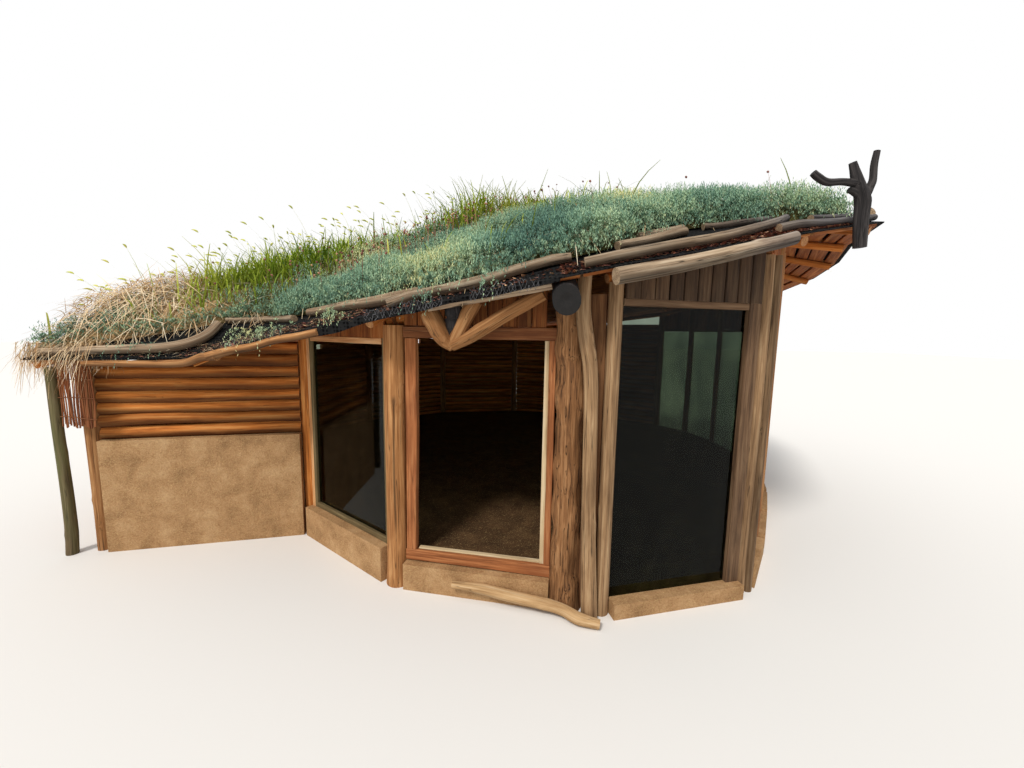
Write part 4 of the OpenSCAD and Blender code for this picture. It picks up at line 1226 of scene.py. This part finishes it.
def trails(eave):
    """Succulent stems that hang over the poles and the sheet's edge, in bunches."""
    rng = rng_for(81)
    chunks = []
    for angle, count, tone in TRAILS:
        p = np.array([eave.hang(angle + rng.normal(0, 0.7), rng.uniform(-0.16, 0.03), rng.uniform(0.04, 0.12))
                      for _ in range(count)])
        lean = leaning(p, rng.uniform(0.2, 0.9, (count, 1)), 0.25, rng)
        sag = rng.uniform(0.7, 2.1, count)
        tint = np.clip(tone + rng.uniform(-0.2, 0.2, count), 0, 1)
        chunks.append(sprigs(p, lean, rng.uniform(0.09, 0.17, count), rng.uniform(0.018, 0.026, count), tint,
                             rng, sag))
    plants("sedum_trails", chunks, [SEDUM])


def grass(turf):
    rng = rng_for(76)
    p, _ = turf.scatter(1380, rng, grass_share)
    n = len(p)
    tall = np.clip(0.36 + 0.12 * patches(*p.T[:2], 4, 77) + rng.uniform(-0.14, 0.14, n), 0.1, 0.62)
    lit = np.clip(0.5 + 0.25 * patches(*p.T[:2], 3, 78) + rng.uniform(-0.25, 0.25, n), 0, 1)
    body, _ = strands(rng, p, ROUND, capped(p, tall, 0.8), (0.008, 0.02), (0.8, 1.1), (0.1, 0.6),
                      (0.15, 0.8), lit)
    plants("grass_blades", [body], [GRASS])

    q, _ = turf.scatter(30, rng, lambda deg, gap, r: ((deg > 150) & (deg < 214) & (r > 1.2)) * 1.0)
    m = len(q)
    heading, length = rng.normal(3.6, 0.9, m), capped(q, rng.uniform(0.4, 0.62, m))
    stalks, tips = strands(rng, q, heading, length, np.full(m, STALK_WIDE), (0.95, 1.1), (0.15, 0.4),
                           (0.3, 0.6), (0.5, 1))
    plants("foxtails", [stalks, tufts(tips, 0.075, 0.009, rng.uniform(0.7, 1, m))], [GRASS])


def straw(turf, eave):
    """Straw heaped on the left end of the roof, spilling over its edge, with strands elsewhere."""
    rng = rng_for(79)

    def dry(deg, gap, r):
        return np.maximum(0.85 * on_heap(deg, r), np.where(gap < 0.3, 0.045, 0.01))
    p, gap = turf.scatter(4800, rng, dry)
    deg, r = np.degrees(np.arctan2(p[:, 1], p[:, 0])) % 360, np.hypot(p[:, 0], p[:, 1])
    mound = on_heap(deg, r) * np.clip(gap / 0.2 + 0.15, 0, 1)
    p[:, 2] += 0.01 + mound * rng.uniform(0, 1, len(p)) ** 0.7 * 0.26
    lying, _ = strands(rng, p, ROUND, (0.12, 0.36), (0.004, 0.009), (0.05, 0.4), (0.1, 0.45), (0.5, 1.0),
                       (0.2, 1))
    turf.lay(lying, p)
    q = np.array([eave.hang(a, rng.uniform(-0.3, 0.02), rng.uniform(0.03, 0.16))
                  for a in rng.uniform(202, 212.6, 1600)])
    heading = np.radians(rng.normal(212, 60, len(q)))
    spill, _ = strands(rng, q, heading, (0.1, 0.32), (0.004, 0.008), (-0.1, 0.5), (0.6, 1.4), (0.2, 0.8),
                       (0, 1))
    w = eave.on_sheet(700, rng, (209.8, 241), (0.02, 0.3))
    strewn, _ = strands(rng, w, ROUND, (0.06, 0.22), (0.004, 0.007), (0.0, 0.15), (0, 0.2), (0.7, 1.0),
                        (0, 0.8))
    plants("straw_strands", [lying, spill, strewn], [STRAW])


def dry_stalks(turf, eave):
    rng = rng_for(80)

    def share(deg, gap, r):
        return np.where((deg > 212) & (deg < 240) & (r > 0.8), 0.9, 0.06)
    p, _ = turf.scatter(45, rng, share)
    n = len(p)
    heading, length = rng.uniform(*ROUND, n), capped(p, rng.uniform(0.16, 0.36, n))
    stalks, tips = strands(rng, p, heading, length, np.full(n, STALK_WIDE), np.full(n, 1.0), (0, 0.15),
                           (0.05, 0.3), (0, 1))
    heads = tufts(tips, 0.04, 0.010, rng.uniform(0, 1, n))
    q, _ = turf.scatter(500, rng, lambda deg, gap, r: np.where(gap < 0.35, 0.7, 0.06), 0.0)
    q = np.concatenate([q, eave.on_sheet(2600, rng, (266, 306), (0.03, 0.3)),
                        eave.on_sheet(900, rng, (210, 266), (0.02, 0.25))])
    litter = flakes(q, rng.uniform(0.008, 0.024, len(q)), rng.uniform(0, 1, len(q)), rng)
    plants("dry_stalks", [stalks, heads, litter], [STALK])


# stage: camera, floor, light

CAMERA_AT = (-0.547, -6.177, 2.10)
CAMERA_DOWN, CAMERA_ROLL = 7.1, 1.03  # degrees
LENS_PX, WIDTH_PX, SENSOR_MM = 410, 1024, 36


def set_camera(scene):
    data = bpy.data.cameras.new("camera")
    cam = bpy.data.objects.new("camera", data)
    scene.collection.objects.link(cam)
    cam.location = CAMERA_AT
    base = Euler((math.pi / 2 - math.radians(CAMERA_DOWN), 0, 0)).to_matrix()
    cam.rotation_euler = (base @ Euler((0, 0, math.radians(CAMERA_ROLL))).to_matrix()).to_euler()
    data.sensor_width = SENSOR_MM
    data.lens = LENS_PX / WIDTH_PX * SENSOR_MM
    data.clip_end = 200
    scene.camera = cam


def set_floor(scene):
    s = 60  # half the floor's width in metres
    me = bpy.data.meshes.new("floor")
    me.from_pydata([(-s, -s, 0), (s, -s, 0), (s, s, 0), (-s, s, 0)], [], [(0, 1, 2, 3)])
    floor = bpy.data.objects.new("floor", me)
    scene.collection.objects.link(floor)
    me.materials.append(Material("floor").surface((0.80, 0.79, 0.77, 1), 0.9))


def set_light(scene):
    """A white surround, dimmer for the light it gives, and one soft sun."""
    white = (1, 1, 1, 1)
    world = scene.world = bpy.data.worlds.new("studio")
    world.use_nodes = True
    n = Nodes(world.node_tree)
    given = n.tree.nodes["Background"]
    n.feed(given, {"Color": white, "Strength": 0.75})
    seen = n.add("Background", "Background", {"Color": white, "Strength": 1.0})
    ray = n.add("LightPath", "Is Camera Ray", {}).node.outputs
    shown = n.maths("MAXIMUM", ray["Is Camera Ray"], ray["Is Glossy Ray"])
    shown = n.maths("MAXIMUM", shown, ray["Is Transmission Ray"])
    both = n.add("MixShader", "Shader", {0: shown, 1: given.outputs["Background"], 2: seen})
    n.feed(n.tree.nodes["World Output"], {"Surface": both})

    sun = bpy.data.lights.new("sun", "SUN")
    sun.energy = 2.2
    sun.angle = math.radians(12)
    sun.color = (1.0, 0.96, 0.9)
    ob = bpy.data.objects.new("sun", sun)
    ob.rotation_euler = (math.radians(38), math.radians(-14), math.radians(-12))
    scene.collection.objects.link(ob)
    scene.view_settings.view_transform = "Standard"


def main():
    turf, eave = Turf(), Eave()
    turf_mesh(turf)
    posts()
    walls()
    roof_timber()
    branches()
    membrane_edge(eave)
    eave_laths(eave)
    sedum(turf)
    grass(turf)
    straw(turf, eave)
    dry_stalks(turf, eave)
    trails(eave)
    rim_growth(turf)
    kept_nodes()
    scene = bpy.context.scene
    set_camera(scene)
    set_floor(scene)
    set_light(scene)


main()
